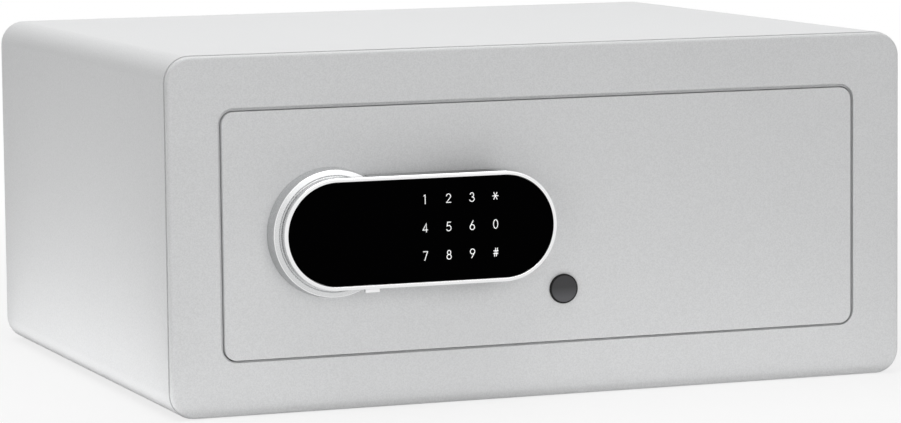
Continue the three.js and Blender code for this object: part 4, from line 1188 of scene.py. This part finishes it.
class SAFE_OT_stage(PieceOperator):
    """Add the floor, the light and the camera"""

    bl_idname = "safe.stage"
    bl_label = "Stage"

    def execute(self, context):
        self.floor()
        self.world()
        self.lamps()
        self.camera()
        return {"FINISHED"}

    def floor(self):
        """A wide pale floor that goes over to plain white away from the object."""
        half_width = 6.0
        mesh = bmesh.new()
        bmesh.ops.create_grid(mesh, x_segments=2, y_segments=2, size=half_width)
        bmesh.ops.translate(mesh, verts=mesh.verts, vec=(0.0, 0.0, FLOOR))
        data = bpy.data.meshes.new("floor")
        mesh.to_mesh(data)
        mesh.free()
        floor = placed("floor", data)
        finish = Finish("studio_floor")
        paper = finish.node("ShaderNodeBsdfDiffuse", sockets={"Color": (0.86, 0.86, 0.86, 1)})
        white = finish.white("ShaderNodeEmission")
        # The white's share grows with the distance from the middle, here in units of 4 m
        far = finish.node("ShaderNodeVectorMath", {"operation": "LENGTH"}, {0: finish.place()}, 1)
        share = finish.ramp(far * 0.25, (0.11, 0.78), (0.24, 1.0))
        seen = self.seen(finish) * share
        both = finish.node("ShaderNodeMixShader", sockets={0: seen, 1: paper, 2: white})
        finish.node("ShaderNodeOutputMaterial", sockets={0: both})
        data.materials.append(finish.material)

    @staticmethod
    def seen(finish):
        """1 for rays from the camera, off a glossy surface or through glass, else 0."""
        names = ("Is Camera Ray", "Is Glossy Ray", "Is Transmission Ray")
        ways = [finish.node("ShaderNodeLightPath", output=name) for name in names]
        return finish.limited(ways[0] + ways[1] + ways[2])

    def world(self):
        """Even light from all round, and white where it is seen or reflected."""
        world = bpy.data.worlds.new("studio")
        world.use_nodes = True
        bpy.context.scene.world = world
        finish = Finish("studio", world.node_tree)
        room = bpy.context.scene.safe_stage.room
        light, white = finish.white("ShaderNodeBackground", room), finish.white("ShaderNodeBackground")
        both = finish.node("ShaderNodeMixShader", sockets={0: self.seen(finish), 1: light, 2: white})
        finish.node("ShaderNodeOutputWorld", sockets={0: both})

    def lamps(self):
        """Area lamps, each at its place and facing its target; the glows stand for lit table."""
        stage = bpy.context.scene.safe_stage
        polished_only = "front_card"
        reflected = ("top_lamp", polished_only)
        left_glow, front_glow = Vector((-0.268, -0.005, 0.003)), Vector((0.0, -0.238, 0.003))
        up = Vector((0.0, 0.0, 1.0))
        for name, power, size, place, target in (
            ("top_lamp", stage.top_power, (1.6, 1.6), (-0.1, 0.0, 1.7), (0.0, 0.0, 0.1)),
            ("front_lamp", stage.front_power, (2.4, 2.4), (0.2, -2.6, 0.9), (0.0, -0.17, 0.1)),
            ("front_card", stage.card_power, (1.8, 0.9), (0.5, -2.4, 0.95), (-0.1, -0.17, 0.1)),
            ("left_lamp", stage.left_power, (0.5, 0.3), (-0.9, -0.75, 0.25), (-0.215, -0.1, 0.08)),
            ("left_glow", stage.left_glow_power, (0.1, 0.36), left_glow, left_glow + up),
            ("front_glow", stage.front_glow_power, (0.46, 0.12), front_glow, front_glow + up),
        ):
            lamp = bpy.data.lights.new(name, "AREA")
            lamp.shape = "RECTANGLE"
            lamp.energy = power
            lamp.size, lamp.size_y = size
            holder = placed(name, lamp)
            holder.location = place
            holder.rotation_euler = (Vector(target) - Vector(place)).to_track_quat("-Z", "Y").to_euler()
            holder.visible_camera = False
            holder.visible_glossy = name in reflected
            holder.visible_diffuse = name != polished_only

    def camera(self):
        """The photograph's viewpoint: turned from the left, a little from above."""
        place = (-0.81399, -2.20863, 0.33906)
        yaw, pitch, roll = (math.radians(a) for a in (20.44686, -6.16088, 0.61089))
        ahead = Vector((math.sin(yaw) * math.cos(pitch), math.cos(yaw) * math.cos(pitch), math.sin(pitch)))
        right = Vector((math.cos(yaw), -math.sin(yaw), 0.0))
        down = ahead.cross(right)
        right_rolled = right * math.cos(roll) + down * math.sin(roll)
        down_rolled = down * math.cos(roll) - right * math.sin(roll)
        axes = Matrix((right_rolled, -down_rolled, -ahead)).transposed().to_4x4()
        data = bpy.data.cameras.new("camera")
        data.lens = bpy.context.scene.safe_stage.lens
        data.sensor_width = 36.0
        camera = placed("camera", data)
        camera.matrix_world = Matrix.Translation(place) @ axes
        bpy.context.scene.camera = camera
        bpy.context.scene.view_settings.view_transform = "Standard"


OPERATORS = (
    SAFE_OT_body,
    SAFE_OT_front_frame,
    SAFE_OT_door,
    SAFE_OT_hinges,
    SAFE_OT_rose,
    SAFE_OT_lever,
    SAFE_OT_digits,
    SAFE_OT_key_lock,
    SAFE_OT_bolts,
    SAFE_OT_electronics,
    SAFE_OT_batteries,
    SAFE_OT_stage,
)


class SAFE_PT_pieces(bpy.types.Panel):
    """Lists the operators and the sizes and colours that they use"""

    bl_label = "Furniture safe"
    bl_idname = "SAFE_PT_pieces"
    bl_space_type = "VIEW_3D"
    bl_region_type = "UI"
    bl_category = "Safe"

    def draw(self, context):
        for operator in OPERATORS:
            self.layout.operator(operator.bl_idname)
        for group in (context.scene.safe_sizes, context.scene.safe_colours, context.scene.safe_stage):
            box = self.layout.box()
            for name in group.__annotations__:
                box.prop(group, name)


GROUPS = {"safe_sizes": SafeSizes, "safe_colours": SafeColours, "safe_stage": SafeStage}


def register():
    for group in GROUPS.values():
        bpy.utils.register_class(group)
    for name, group in GROUPS.items():
        setattr(bpy.types.Scene, name, bpy.props.PointerProperty(type=group))
    for operator in OPERATORS:
        bpy.utils.register_class(operator)
    bpy.utils.register_class(SAFE_PT_pieces)


def unregister():
    bpy.utils.unregister_class(SAFE_PT_pieces)
    for operator in reversed(OPERATORS):
        bpy.utils.unregister_class(operator)
    for name in GROUPS:
        delattr(bpy.types.Scene, name)
    for group in reversed(GROUPS.values()):
        bpy.utils.unregister_class(group)


def main():
    register()
    for operator in OPERATORS:
        group, name = operator.bl_idname.split(".")
        getattr(getattr(bpy.ops, group), name)()


if __name__ == "__main__":
    main()
